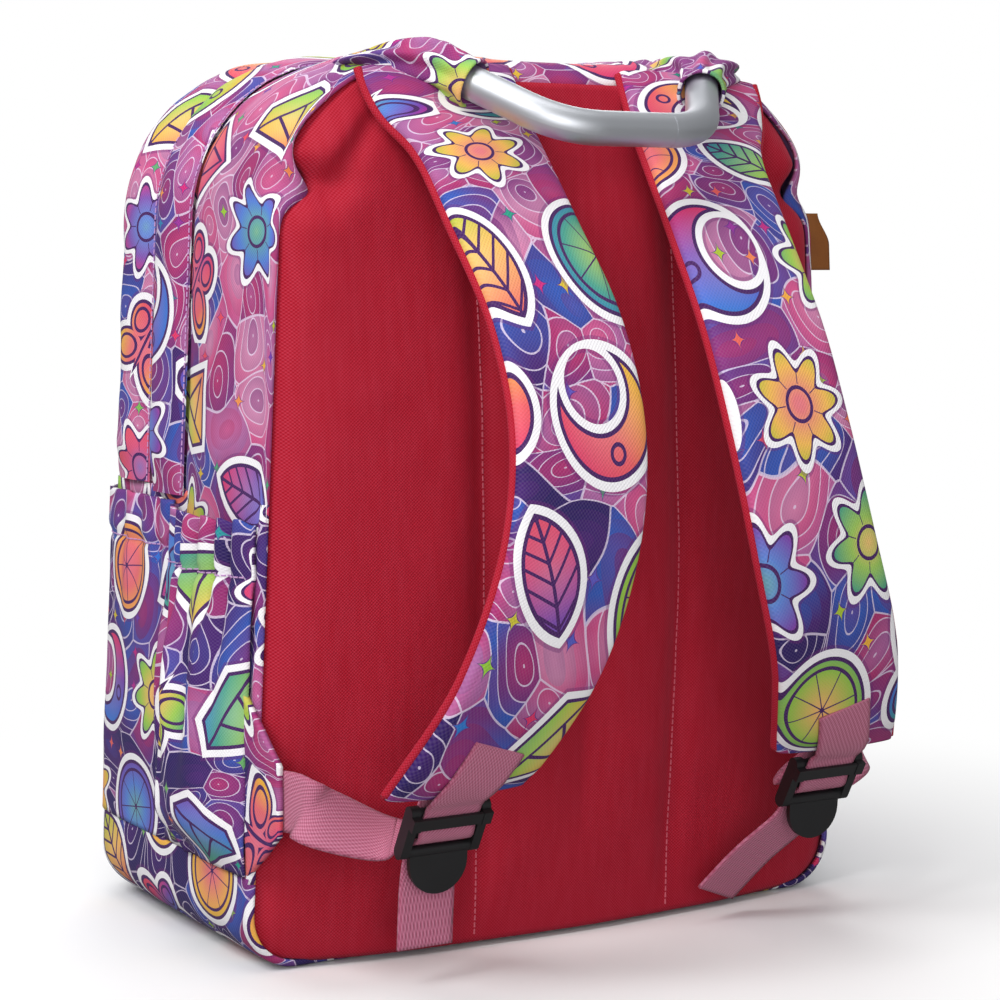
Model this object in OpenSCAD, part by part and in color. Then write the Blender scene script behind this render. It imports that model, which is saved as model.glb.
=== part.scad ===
// School backpack with two zipped compartments, padded shoulder straps and a tube handle.
// Millimetres. +Z is up, the shoulder straps face -Y, the floor is z = 0.

/* [Bag shell] */
// Half of the greatest width, near the floor
half_width = 168; // [140:1:190]
// Height from the floor to the top of the arch
bag_height = 422; // [370:1:470]
// Radius of the shoulders of the arch
top_radius = 78; // [50:1:100]
// Distance of the shoulder arc centre from the middle
top_half = 74; // [50:1:90]
// Radius of the lower corners
bottom_radius = 26; // [15:1:40]
// Thickness of a lined side wall
wall = 3; // [2:0.5:5]
// Y of the rear seam between back panel and sides
rear_y = -90; // [-110:1:-70]
// Depth of the rear compartment, seam to zip
rear_depth = 116; // [90:1:130]
// Depth of the middle compartment wall, zip to zip
mid_depth = 34; // [25:1:50]
// Depth of the front wall, zip to front panel
front_depth = 28; // [20:1:45]
// Height of the fold line about which both fronts open
fold_height = 215; // [180:1:250]
// Height of the seam between the side walls and the base
base_seam = 42; // [32:1:60]

/* [Back panel] */
// How far the stuffed back panel bulges out
crown = 32; // [10:1:45]
// Thickness of the outer cloth
cover_thick = 2; // [1:0.5:4]
// Thickness of the back padding
back_pad = 6.5; // [4:0.5:12]
// Distance of the quilting seams from the middle
channel_x = 55; // [35:1:75]
// Depth of the quilting seams
channel_depth = 4; // [0:0.5:6]

/* [Zips] */
// Width of a closed zip between two walls
zip_width = 8; // [6:0.5:10]
// Gap between the two rows of teeth
zip_gap = 0.6; // [0.4:0.1:1.2]
// Width of a rain flap in front of a zip
flap_width = 24; // [15:1:30]
// Thickness of a folded rain flap
flap_thick = 3; // [2:0.5:5]
// Height of the sliders above the fold line
slider_rise = 100; // [40:1:110]

/* [Pockets] */
// Width of a side pocket at its mouth
side_pocket_width = 88; // [70:1:110]
// How far a side pocket stands out
side_pocket_bulge = 21; // [10:1:30]
// Height of the side pocket mouth above the floor
side_pocket_top = 207; // [150:1:212]
// Cloth thickness of the pockets
pocket_cloth = 2; // [1:0.5:3]
// Depth of the slip pocket on the front
front_pocket_depth = 15; // [8:1:25]

/* [Straps] */
// Width of a shoulder strap
strap_width = 66; // [50:1:80]
// Thickness of the strap padding
strap_pad = 8; // [5:0.5:14]
// Thickness of the strap cloth
strap_cloth = 1.8; // [1:0.1:3]
// Width of the bound strap edges
binding = 3; // [2:0.5:5]
// Width of the webbing
webbing_width = 28; // [20:1:32]
// Thickness of the webbing
webbing_thick = 1.6; // [1:0.1:2.5]
// Free length of the left webbing tail below the buckle
tail_left = 48; // [20:1:60]
// Free length of the right webbing tail below the buckle
tail_right = 69; // [30:1:80]

/* [Buckle] */
// Radius of the buckle bars
bar_radius = 2.2; // [1.6:0.1:3]
// Distance from the loop bar to the middle bar
bar_pitch = 12; // [10:0.5:16]
// Width of a buckle side rail
rail = 4.5; // [3:0.5:7]
// Clearance between moving pieces
play = 0.4; // [0.2:0.1:0.8]

/* [Handle] */
// Outer radius of the handle tube
tube_radius = 8; // [6:0.5:11]
// Wall of the handle tube
tube_wall = 1.5; // [1:0.25:3]
// Half of the distance between the handle roots
handle_half = 72; // [55:1:90]
// How far the grip stands out
handle_reach = 57; // [35:1:70]
// Half length of the grip between the bend corners
grip_half = 38; // [25:1:55]
// Centre line radius of the bends
bend_radius = 34; // [18:1:40]
// Slope of the handle below level
handle_slope = 29; // [0:1:40]

/* [Hidden] */
print_cloth = [0.62, 0.36, 0.72];
coral = [0.78, 0.16, 0.26];
pink = [0.93, 0.45, 0.62];
black = [0.06, 0.06, 0.07];
silver = [0.72, 0.73, 0.75];
slit = 1;
top_z = bag_height - top_radius;
bottom_half = half_width - bottom_radius;
wall_y = rear_y + cover_thick;
zip_y = rear_y + rear_depth;
mid_y = zip_y + zip_width;
zip2_y = mid_y + mid_depth;
front_y = zip2_y + zip_width;
panel_y = front_y + front_depth;
face_y = panel_y + wall;
span = [top_half - bottom_half, top_z - bottom_radius];
lean = atan2(span[1], span[0]) - acos((bottom_radius - top_radius) / norm(span));
side_lean = lean;

// Outline of the bag seen from behind, pulled in by d.
function corner(c, r, a) = [c[0] + r * cos(a), c[1] + r * sin(a)];
function right_side(d) = concat(
  [for (k = [0 : 5]) corner([bottom_half, bottom_radius], bottom_radius - d, -90 + k * (90 + lean) / 5)],
  [for (k = [0 : 8]) corner([top_half, top_z], top_radius - d, lean + k * (90 - lean) / 8)]);
function flip(p) = [for (k = [len(p) - 1 : -1 : 0]) [-p[k][0], p[k][1]]];
function outline(d) = concat(right_side(d), flip(right_side(d)));
// Half width of the outline at a height.
function on_arc(c, r, z) = c[0] + sqrt(max(0, r * r - (z - c[1]) * (z - c[1])));
function low_end(d) = corner([bottom_half, bottom_radius], bottom_radius - d, lean);
function high_end(d) = corner([top_half, top_z], top_radius - d, lean);
function half_at(z, d) = z < low_end(d)[1] ? on_arc([bottom_half, bottom_radius], bottom_radius - d, z)
  : z > high_end(d)[1] ? on_arc([top_half, top_z], top_radius - d, z)
  : low_end(d)[0] + (high_end(d)[0] - low_end(d)[0]) * (z - low_end(d)[1]) / (high_end(d)[1] - low_end(d)[1]);

module along_y(y0, y1) translate([0, y1, 0]) rotate([90, 0, 0]) linear_extrude(y1 - y0) children();
module ring(outer, inner) difference() {
  polygon(outline(-outer));
  polygon(outline(inner));
}
module band(y0, y1, outer, inner) along_y(y0, y1) ring(outer, inner);
module between(z0, z1) intersection() {
  children();
  translate([-400, -400, z0]) cube([800, 800, z1 - z0]);
}
module left_half() intersection() {
  children();
  translate([-400, -400, -50]) cube([400, 800, 600]);
}
module right_half() intersection() {
  children();
  translate([0, -400, -50]) cube([400, 800, 600]);
}
module other_side() mirror([1, 0, 0]) children();

// Back panel: three sheets that follow one crowned, quilted surface.
cols = [-1, -0.93, -0.8, -0.6, -0.43, -0.37, -0.33, -0.29, -0.2, 0,
  0.2, 0.29, 0.33, 0.37, 0.43, 0.6, 0.8, 0.93, 1];
function rows(d) = concat(
  [for (k = [0 : 5]) right_side(d)[k][1]],
  [for (k = [1 : 4]) low_end(d)[1] + (high_end(d)[1] - low_end(d)[1]) * k / 5],
  [for (k = [6 : 14]) right_side(d)[k][1]]);
function rise(s) = 0.42 + 2.0 * s - 2.3 * s * s;
function swell(x, z) = crown * max(0.06, rise(z / bag_height))
  * (1 - pow(min(1, abs(x) / half_at(z, 0)), 2.4))
  - channel_depth * exp(-pow((abs(x) - channel_x) / 7, 2))
  * min(1, max(0, (z - 20) / 40)) * min(1, max(0, (bag_height - 22 - z) / 60));
function tri(q) = [[q[0], q[1], q[2]], [q[0], q[2], q[3]]];
function flat(l) = [for (a = l, b = a) b];
module sheet(d, y0, y1) {
  r = rows(d);
  nc = len(cols);
  nr = len(r);
  n = nc * nr;
  grid = [for (i = [0 : nr - 1], j = [0 : nc - 1]) [cols[j] * half_at(r[i], d), r[i]]];
  pts = concat(
    [for (g = grid) [g[0], rear_y - swell(g[0], g[1]) + y0, g[1]]],
    [for (g = grid) [g[0], rear_y - swell(g[0], g[1]) + y1, g[1]]]);
  out = [for (i = [0 : nr - 2], j = [0 : nc - 2])
    [i * nc + j, (i + 1) * nc + j, (i + 1) * nc + j + 1, i * nc + j + 1]];
  inn = [for (q = out) [n + q[0], n + q[3], n + q[2], n + q[1]]];
  low = [for (j = [0 : nc - 2]) [j, j + 1, n + j + 1, n + j]];
  t = (nr - 1) * nc;
  high = [for (j = [0 : nc - 2]) [t + j, n + t + j, n + t + j + 1, t + j + 1]];
  lft = [for (i = [0 : nr - 2]) [i * nc, n + i * nc, n + (i + 1) * nc, (i + 1) * nc]];
  e = nc - 1;
  rgt = [for (i = [0 : nr - 2]) [i * nc + e, (i + 1) * nc + e, n + (i + 1) * nc + e, n + i * nc + e]];
  polyhedron(pts, flat([for (q = concat(out, inn, low, high, lft, rgt)) tri(q)]), convexity = 6);
}
foam_y = cover_thick + 0.8;
lining_y = foam_y + back_pad + 0.8;
module back_cover() color(coral) sheet(0, 0, cover_thick);
module back_foam() color([0.9, 0.9, 0.85]) sheet(wall + 0.3, foam_y, foam_y + back_pad);
module back_lining() color([0.35, 0.3, 0.4]) sheet(wall + 0.3, lining_y, lining_y + 1.5);

// Base and fixed walls.
module base_panel() color(print_cloth) between(-1, base_seam) band(wall_y, panel_y, 0, wall);
module lower_wall() between(base_seam, fold_height) band(wall_y, panel_y, 0, wall);
module lower_side_left() color(print_cloth) left_half() lower_wall();
module lower_side_right() color(print_cloth) right_half() lower_wall();
module rear_wall() band(wall_y, zip_y, 0, wall);
module rear_side_left() color(print_cloth) left_half() between(fold_height, top_z) rear_wall();
module rear_side_right() color(print_cloth) right_half() between(fold_height, top_z) rear_wall();
module rear_top() color(print_cloth) between(top_z, 600) rear_wall();
module main_rain_flap() color(print_cloth)
  between(fold_height + slit, 600) band(zip_y - flap_width - 2, zip_y - 2, flap_thick, -0.05);
module front_lower_panel() color(print_cloth) between(-1, fold_height) along_y(panel_y, face_y)
  polygon(outline(0));
module divider_lower() color([0.35, 0.3, 0.4])
  between(wall + 0.3, fold_height) along_y(mid_y + 0.3, mid_y + 2.3) polygon(outline(wall + 0.3));

// Slip pocket on the front, with its cloth drawn round both sides.
pocket_hem = fold_height - 4;
module front_pocket() color(print_cloth) between(base_seam - 10, pocket_hem) difference() {
  along_y(face_y, face_y + front_pocket_depth) polygon(outline(12));
  between(base_seam - 8, 600) along_y(face_y - 1, face_y + front_pocket_depth - pocket_cloth)
    polygon(outline(12 + pocket_cloth));
}
module front_wrap_right() color(print_cloth)
  right_half() between(base_seam, pocket_hem) band(rear_y + side_pocket_width + 14, face_y, pocket_cloth, 0);
module front_wrap_left() color(print_cloth) other_side() front_wrap_right();

// Side pockets lean with the wall and open upwards.
pocket_mid = rear_y + 4 + side_pocket_width / 2;
pocket_r = (pow(side_pocket_width / 2, 2) + pow(side_pocket_bulge, 2)) / (2 * side_pocket_bulge);
pocket_h = (side_pocket_top - base_seam - 4) / cos(side_lean);
function lean_at(z) = z > high_end(0)[1] ? asin((z - top_z) / top_radius) : side_lean;
module on_right_wall(z) translate([half_at(z, 0), 0, z]) rotate([0, -lean_at(z), 0]) children();
module pocket_arc(r) intersection() {
  translate([side_pocket_bulge - pocket_r, 0]) circle(r, $fn = 96);
  translate([0.2, -200]) square([200, 400]);
}
module side_pocket_right() color(print_cloth) translate([0, pocket_mid, 0]) on_right_wall(base_seam + 4) {
  linear_extrude(pocket_h) difference() {
    pocket_arc(pocket_r);
    pocket_arc(pocket_r - pocket_cloth);
  }
  linear_extrude(pocket_cloth) pocket_arc(pocket_r);
}
module side_pocket_left() color(print_cloth) other_side() side_pocket_right();
module pocket_elastic_right() color([0.85, 0.85, 0.85]) translate([0, pocket_mid, 0])
  on_right_wall(base_seam + 4) translate([0, 0, pocket_h - 13]) linear_extrude(11) difference() {
    pocket_arc(pocket_r - pocket_cloth - 0.2);
    pocket_arc(pocket_r - pocket_cloth - 1.4);
  }
module pocket_elastic_left() color([0.85, 0.85, 0.85]) other_side() pocket_elastic_right();

// Cloth gussets in the side seams that hold the webbing, and a bare seam tab.
gusset_x = half_at(80, 0) - 3.5;
gusset_tip = rear_y - 24;
module strap_gusset_right() color(print_cloth) translate([gusset_x, 0, 0]) rotate([90, 0, 90])
  linear_extrude(3) polygon([[rear_y - 2.1, 48], [gusset_tip, 70], [gusset_tip, 100], [rear_y - 2.1, 126]]);
module strap_gusset_left() color(print_cloth) other_side() strap_gusset_right();
tab_z = top_z - 6;
module seam_tab() color([0.49, 0.27, 0.07]) translate([0, wall_y + 3, 0]) on_right_wall(tab_z)
  rotate([90, 0, 0])
  linear_extrude(2) polygon([[0.3, -16], [13, -17], [5, 12], [0.3, 12]]);

// Zips: a flat tape with a raised row of teeth on its free edge.
module chain(y0, y1, tooth) union() {
  band(y0, y1, -0.9, 2.1);
  band(tooth, tooth + 1.6, -0.3, 2.7);
}
half_zip = (zip_width - zip_gap) / 2;
module main_zip_rear_chain() color([0.35, 0.12, 0.35])
  between(fold_height, 600) chain(zip_y, zip_y + half_zip, zip_y + half_zip - 1.6);
module main_zip_front_chain() color([0.35, 0.12, 0.35])
  between(fold_height + slit, 600) chain(mid_y - half_zip, mid_y, mid_y - half_zip);
module front_zip_rear_chain() color([0.35, 0.12, 0.35])
  between(fold_height + slit, 600) chain(zip2_y, zip2_y + half_zip, zip2_y + half_zip - 1.6);
module front_zip_front_chain() color([0.35, 0.12, 0.35])
  between(fold_height + slit, 600) chain(front_y - half_zip, front_y, front_y - half_zip);

// Middle front: wall, divider and the second zip, opening as one about the fold line.
module mid_wall() band(mid_y, zip2_y, 0, wall);
module mid_side_left() color(print_cloth) left_half() between(fold_height + slit, top_z) mid_wall();
module mid_side_right() color(print_cloth) right_half() between(fold_height + slit, top_z) mid_wall();
module mid_top() color(print_cloth) between(top_z, 600) mid_wall();
module divider_upper() color([0.35, 0.3, 0.4])
  between(fold_height + slit, 600) along_y(mid_y + 0.3, mid_y + 2.3) polygon(outline(wall + 0.2));
module front_rain_flap() color(print_cloth)
  between(fold_height + slit, 600) band(zip2_y - flap_width - 1, zip2_y - 1, flap_thick, -0.05);

// Outer front: wall and panel.
module front_wall() band(front_y, panel_y, 0, wall);
module front_side_left() color(print_cloth) left_half() between(fold_height + slit, top_z) front_wall();
module front_side_right() color(print_cloth) right_half() between(fold_height + slit, top_z) front_wall();
module front_top() color(print_cloth) between(top_z, 600) front_wall();
module front_upper_panel() color(print_cloth)
  between(fold_height + slit, 600) along_y(panel_y, face_y) polygon(outline(0));

// Zip slider, a saddle over the teeth with an arch, and its pull, captive under the arch.
module slider() {
  translate([-0.5, -4, -7]) cube([1.4 + play + 0.5, 1.4, 14]);
  translate([play, -4, -7]) cube([1.4, 8, 14]);
  difference() {
    translate([1.6, -1.4, -5.5]) cube([4.4, 2.8, 11]);
    translate([1.7, -2, -3]) cube([2.7, 4, 6]);
  }
}
pull_x = 3.1;
module pull() {
  translate([pull_x, 3.4, 0]) rotate([90, 0, 0]) cylinder(h = 6.8, r = 0.8, $fn = 24);
  for (s = [-1, 1]) translate([pull_x - 0.6, s * 2.9 - 0.9, -9.5]) cube([1.2, 1.8, 9.5]);
  translate([pull_x - 0.6, 0, 0]) rotate([90, 0, 90]) linear_extrude(1.2) difference() {
    union() {
      translate([-3.8, -32]) square([7.6, 23]);
      translate([0, -32]) circle(3.8, $fn = 48);
    }
    translate([0, -31]) circle(1.8, $fn = 32);
  }
}
slider_z = fold_height + slider_rise;
module on_zip(y) translate([0, y, 0]) on_right_wall(slider_z) children();
module main_zip_slider() color([0.5, 0.5, 0.53]) on_zip(zip_y + zip_width / 2) slider();
module main_zip_pull() color([0.5, 0.5, 0.53]) on_zip(zip_y + zip_width / 2) pull();
module front_zip_slider() color([0.5, 0.5, 0.53]) on_zip(zip2_y + zip_width / 2) slider();
module front_zip_pull() color([0.5, 0.5, 0.53]) on_zip(zip2_y + zip_width / 2) pull();

// Handle: straight tube and two bends in one sloping plane, ends held in cloth sleeves.
handle_y = rear_y - tube_radius - 6.3;
handle_z = bag_height - 8;
leg = [handle_half - grip_half, handle_reach];
leg_angle = atan2(leg[1], leg[0]);
bend_in = bend_radius * tan(leg_angle / 2);
leg_length = norm(leg) - bend_in;
module handle_plane() translate([0, handle_y, handle_z]) rotate([handle_slope, 0, 0]) children();
module leg_rod(r, from, to) translate([handle_half, 0, 0]) rotate([0, 0, 180 + leg_angle]) rotate([0, 90, 0])
  translate([0, 0, from]) cylinder(h = to - from, r = r, $fn = 48);
lap = 1;
swell_bend = 0.1;
module tube_bend(r) {
  leg_rod(r, 0, leg_length + lap);
  translate([grip_half - bend_in, -handle_reach + bend_radius, 0]) rotate([0, 0, -90])
    rotate_extrude(angle = leg_angle, $fn = 96) translate([bend_radius, 0]) circle(r + swell_bend, $fn = 48);
}
module whole_tube(r) {
  tube_bend(r);
  other_side() tube_bend(r);
  translate([-grip_half + bend_in - lap, -handle_reach, 0]) rotate([0, 90, 0])
    cylinder(h = 2 * (grip_half - bend_in + lap), r = r, $fn = 48);
}
bore = tube_radius - tube_wall;
module handle_tube() color(silver) handle_plane() difference() {
  whole_tube(tube_radius);
  whole_tube(bore);
}
module end_plug() {
  leg_rod(bore - 0.1, 0.5, 16);
  leg_rod(tube_radius, -2.5, -0.1);
  leg_rod(bore - 2, -0.5, 1);
}
module handle_plugs() color(black) handle_plane() {
  end_plug();
  other_side() end_plug();
}
sleeve_gap = 0.3;
module handle_sleeve_right() color(print_cloth) handle_plane() difference() {
  leg_rod(tube_radius + sleeve_gap + 1.5, -4, 13);
  leg_rod(tube_radius + sleeve_gap, -2.6, 30);
}
module handle_sleeve_left() color(print_cloth) other_side() handle_sleeve_right();

// Shoulder straps: layers swept along one curved centre line, right-hand side.
strap_top = bag_height - 29;
strap_low = 95;
strap_line = [[63, 16, 1], [61.5, 29, 0.943], [59, 52, 0.842], [55.5, 87, 0.681], [57, 108, 0.513],
  [67, 115, 0.336], [85, 108, 0.161], [105, 82, 0]];
strap_path = [for (q = strap_line) [q[0], rear_y - q[1], strap_low + (strap_top - strap_low) * q[2]]];
function spline(p, s) = let (n = len(p) - 1, i = min(n - 1, floor(s)), u = s - i,
  a = p[max(0, i - 1)], b = p[i], c = p[i + 1], d = p[min(n, i + 2)])
  0.5 * (2 * b + (c - a) * u + (2 * a - 5 * b + 4 * c - d) * u * u + (3 * b - 3 * c + d - a) * u * u * u);
function unit(v) = v / norm(v);
stations = 36;
function place(k) = spline(strap_path, 7 * k / stations);
function run(k) = unit(spline(strap_path, min(7, 7 * k / stations + 0.02))
  - spline(strap_path, max(0, 7 * k / stations - 0.02)));
function smooth(t) = let (e = max(0, min(1, t))) e * e * (3 - 2 * e);
function across(k) = let (r = run(k), p = unit([1, 0, 0] - r * r[0]))
  p - r * (p[2] / r[2]) * smooth(5 * k / stations - 4);
function away(k) = cross(run(k), across(k));
module sweep(rings) {
  n = len(rings);
  m = len(rings[0]);
  skin = [for (i = [0 : n - 2], k = [0 : m - 1])
    [i * m + k, (i + 1) * m + k, (i + 1) * m + (k + 1) % m, i * m + (k + 1) % m]];
  ends = concat([for (k = [1 : m - 2]) [0, k, k + 1]],
    [for (k = [1 : m - 2]) [(n - 1) * m, (n - 1) * m + k + 1, (n - 1) * m + k]]);
  polyhedron(flat(rings), concat(flat([for (q = skin) tri(q)]), ends), convexity = 6);
}
module strap_layer(u0, u1, v0, v1) sweep([for (k = [0 : stations])
  [for (c = [[u0, v0], [u1, v0], [u1, v1], [u0, v1]]) place(k) + across(k) * c[0] + away(k) * c[1]]]);
pad_half = strap_width / 2 - binding;
layer_gap = 0.6;
layer_top = strap_pad / 2 + layer_gap + strap_cloth;
module strap_cover_right() color(print_cloth)
  strap_layer(-pad_half, pad_half, strap_pad / 2 + layer_gap, layer_top);
module strap_foam_right() color([0.9, 0.9, 0.85])
  strap_layer(-pad_half, pad_half, -strap_pad / 2, strap_pad / 2);
module strap_lining_right() color(coral)
  strap_layer(-pad_half, pad_half, -layer_top, -strap_pad / 2 - layer_gap);
module strap_binding_right() color(coral) {
  strap_layer(pad_half + layer_gap, strap_width / 2, -layer_top, layer_top);
  strap_layer(-strap_width / 2, -pad_half - layer_gap, -layer_top, layer_top);
}
module strap_cover_left() color(print_cloth) other_side() strap_cover_right();
module strap_foam_left() color([0.9, 0.9, 0.85]) other_side() strap_foam_right();
module strap_lining_left() color(coral) other_side() strap_lining_right();
module strap_binding_left() color(coral) other_side() strap_binding_right();

// Ladder lock buckle: loop bar, middle bar, lower bar, side rails and a tilted thumb tab.
hang = 11;
end_run = run(stations);
hang_way = unit([0, end_run[1], end_run[2]]);
buckle_at = place(stations) + hang_way * hang;
buckle_pitch = atan2(hang_way[1], -hang_way[2]);
local_y = [0, -hang_way[2], hang_way[1]];
local_z = -hang_way;
rail_in = webbing_width / 2 + 1.5;
buckle_half = rail_in + rail;
low_bar = bar_pitch + 10;
module at_buckle() translate(buckle_at) rotate([buckle_pitch, 0, 0]) children();
module bar(y, z, r) translate([-rail_in - 0.5, y, z]) rotate([0, 90, 0])
  cylinder(h = 2 * rail_in + 1, r = r, $fn = 40);
function arc(c, r, from, to) = [for (k = [0 : 16]) corner(c, r, from + (to - from) * k / 16)];
rail_r = 3.4;
module rail_shape() polygon(concat(arc([0, 0], rail_r, 0, 180), arc([0, -low_bar], rail_r, 180, 360)));
thumb_half = rail_in - 0.8;
hood_thick = 1.5;
hood_drop = 6;
hood_rise = 0.3;
hood_y = -(bar_radius + webbing_thick + 2 * play + hood_thick + 0.3);
module thumb_shape() polygon(concat([[thumb_half, 0], [-thumb_half, 0]], arc([0, -6], thumb_half, 180, 360)));
module ladder_lock() {
  for (s = [-1, 1]) translate([s * (rail_in + rail / 2) - rail / 2, 0, 0]) rotate([90, 0, 90])
    linear_extrude(rail) rail_shape();
  bar(0, 0, bar_radius);
  bar(0, -bar_pitch, bar_radius);
  bar(-0.8, -low_bar, bar_radius + 0.3);
  translate([0, -0.8, -low_bar]) rotate([-24, 0, 0]) translate([0, 1.3, 0]) rotate([90, 0, 0])
    linear_extrude(2.6)
    thumb_shape();
  for (s = [-1, 1]) translate([s * (rail_in + rail / 2) - rail / 2, hood_y, -hood_drop])
    cube([rail, -hood_y, hood_drop + hood_rise + 0.3]);
  translate([-rail_in - rail + 0.4, hood_y + 0.3, 0.3 - hood_drop])
    cube([2 * (rail_in + rail - 0.4), hood_thick, hood_drop + hood_rise - 0.3]);
}
module ladder_lock_right() color(black) at_buckle() ladder_lock();
module ladder_lock_left() color(black) other_side() ladder_lock_right();

// Webbing through the buckle, a ribbon of even thickness bent along a line.
function side_of(p, k) = let (a = p[max(0, k - 1)], b = p[min(len(p) - 1, k + 1)], d = unit(b - a))
  [-d[1], d[0]];
function ribbon(p, t) = concat([for (k = [0 : len(p) - 1]) p[k] + side_of(p, k) * t / 2],
  [for (k = [len(p) - 1 : -1 : 0]) p[k] - side_of(p, k) * t / 2]);
slot_z = -bar_pitch + bar_radius + 2.4;
turn_y = bar_radius + webbing_thick / 2 + play;
tail_y = bar_radius + 0.3 - 0.8 + webbing_thick / 2 + play;
load_y = tail_y + webbing_thick + play;
through = [[load_y, -low_bar + 2], [load_y, slot_z - 1.5], [load_y - 1.8, slot_z + 0.6], [0, slot_z + 0.8],
  [-turn_y + 0.6, slot_z - 0.6], [-turn_y - 0.2, -bar_pitch + 1.2], [-turn_y - 0.2, -bar_pitch - 1.2],
  [-turn_y + 1.2, -bar_pitch - 3.8], [0, -bar_pitch - 5], [tail_y - 1.2, -bar_pitch - 6.2],
  [tail_y, -bar_pitch - 8]];
left_tail = [[tail_y, -low_bar - 4], [tail_y - 1.2, -low_bar - 12], [tail_y - 5, -low_bar - 24],
  [tail_y - 0.33 * tail_left, -low_bar - tail_left]];
right_tail = [[tail_y, -low_bar - 4]];
module strip(p) translate([-webbing_width / 2, 0, 0]) rotate([90, 0, 90]) linear_extrude(webbing_width)
  polygon(ribbon(p, webbing_thick));
module webbing_left() color(pink) other_side() at_buckle() strip(concat(through, left_tail));

// Webbing swept through space, its width turned along the way.
steps = 20;
module web(path, wide, width, thick) {
  n = len(path) - 1;
  function at(k) = spline(path, n * k / steps);
  function way(k) = unit(spline(path, min(n, n * k / steps + 0.02))
    - spline(path, max(0, n * k / steps - 0.02)));
  function over(k) = let (w = spline(wide, n * k / steps), t = way(k)) unit(w - t * (w * t));
  sweep([for (k = [0 : steps]) [for (c = [[-1, -1], [1, -1], [1, 1], [-1, 1]])
    at(k) + over(k) * c[0] * width / 2 + cross(way(k), over(k)) * c[1] * thick / 2]]);
}
tail_way = unit([-0.44, 0.49, -0.75]);
tail_from = buckle_at + local_y * tail_y - local_z * (low_bar + 3);
tail_path = [tail_from + local_z * 8, tail_from, tail_from + unit(tail_way - local_z) * 0.22 * tail_right,
  tail_from + tail_way * 0.6 * tail_right, tail_from + tail_way * tail_right];
level = [1, 0, 0];
module webbing_right() color(pink) {
  at_buckle() strip(concat(through, right_tail));
  web(tail_path, [for (p = tail_path) level], webbing_width - 0.4, webbing_thick - 0.3);
}

// Loop of webbing that hangs the buckle on the strap end.
loop_in = bar_radius + play;
module buckle_loop_right() color(pink) at_buckle() difference() {
  union() {
    translate([-webbing_width / 2, 0, 0]) rotate([0, 90, 0])
      cylinder(h = webbing_width, r = loop_in + webbing_thick, $fn = 48);
    translate([-webbing_width / 2, -webbing_thick, 0])
      cube([webbing_width, 2 * webbing_thick, hang - 0.3]);
  }
  translate([-50, 0, 0]) rotate([0, 90, 0]) cylinder(h = 100, r = loop_in, $fn = 48);
}
module buckle_loop_left() color(pink) other_side() buckle_loop_right();

// Webbing from the side seam to the buckle, turning from upright to level.
anchor_end = buckle_at + local_y * (load_y + webbing_thick + 3.8) - local_z * (low_bar - 2);
anchor_path = [[gusset_x - 1, gusset_tip + 8, 84], [gusset_x - 4, gusset_tip - 8, 85],
  [gusset_x - 10.8, gusset_tip - 17, 80], anchor_end + level * 13 + local_y * 15 - local_z * 9,
  anchor_end + level * 3 + local_y * 5 - local_z * 9, anchor_end];
anchor_wide = [[0, 0, 1], [0, 0, 1], [0.25, -0.1, 0.95], [0.6, -0.2, 0.75], [0.95, -0.15, 0.3], level];
module anchor_webbing_right() color(pink) web(anchor_path, anchor_wide, webbing_width, webbing_thick);
module anchor_webbing_left() color(pink) other_side() anchor_webbing_right();

back_cover();
back_foam();
back_lining();
base_panel();
lower_side_left();
lower_side_right();
rear_side_left();
rear_side_right();
rear_top();
main_rain_flap();
main_zip_rear_chain();
front_lower_panel();
front_pocket();
front_wrap_left();
front_wrap_right();
divider_lower();
side_pocket_left();
side_pocket_right();
pocket_elastic_left();
pocket_elastic_right();
strap_gusset_left();
strap_gusset_right();
anchor_webbing_left();
anchor_webbing_right();
seam_tab();
handle_tube();
handle_plugs();
handle_sleeve_left();
handle_sleeve_right();
divider_upper();
mid_side_left();
mid_side_right();
mid_top();
main_zip_front_chain();
front_rain_flap();
front_zip_rear_chain();
front_upper_panel();
front_side_left();
front_side_right();
front_top();
front_zip_front_chain();
main_zip_slider();
main_zip_pull();
front_zip_slider();
front_zip_pull();
strap_cover_left();
strap_foam_left();
strap_lining_left();
strap_binding_left();
buckle_loop_left();
ladder_lock_left();
webbing_left();
strap_cover_right();
strap_foam_right();
strap_lining_right();
strap_binding_right();
buckle_loop_right();
ladder_lock_right();
webbing_right();
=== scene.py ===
import math

import bmesh
import bpy
from bpy.props import FloatProperty, FloatVectorProperty, PointerProperty
from mathutils import Matrix, Vector, noise


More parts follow.
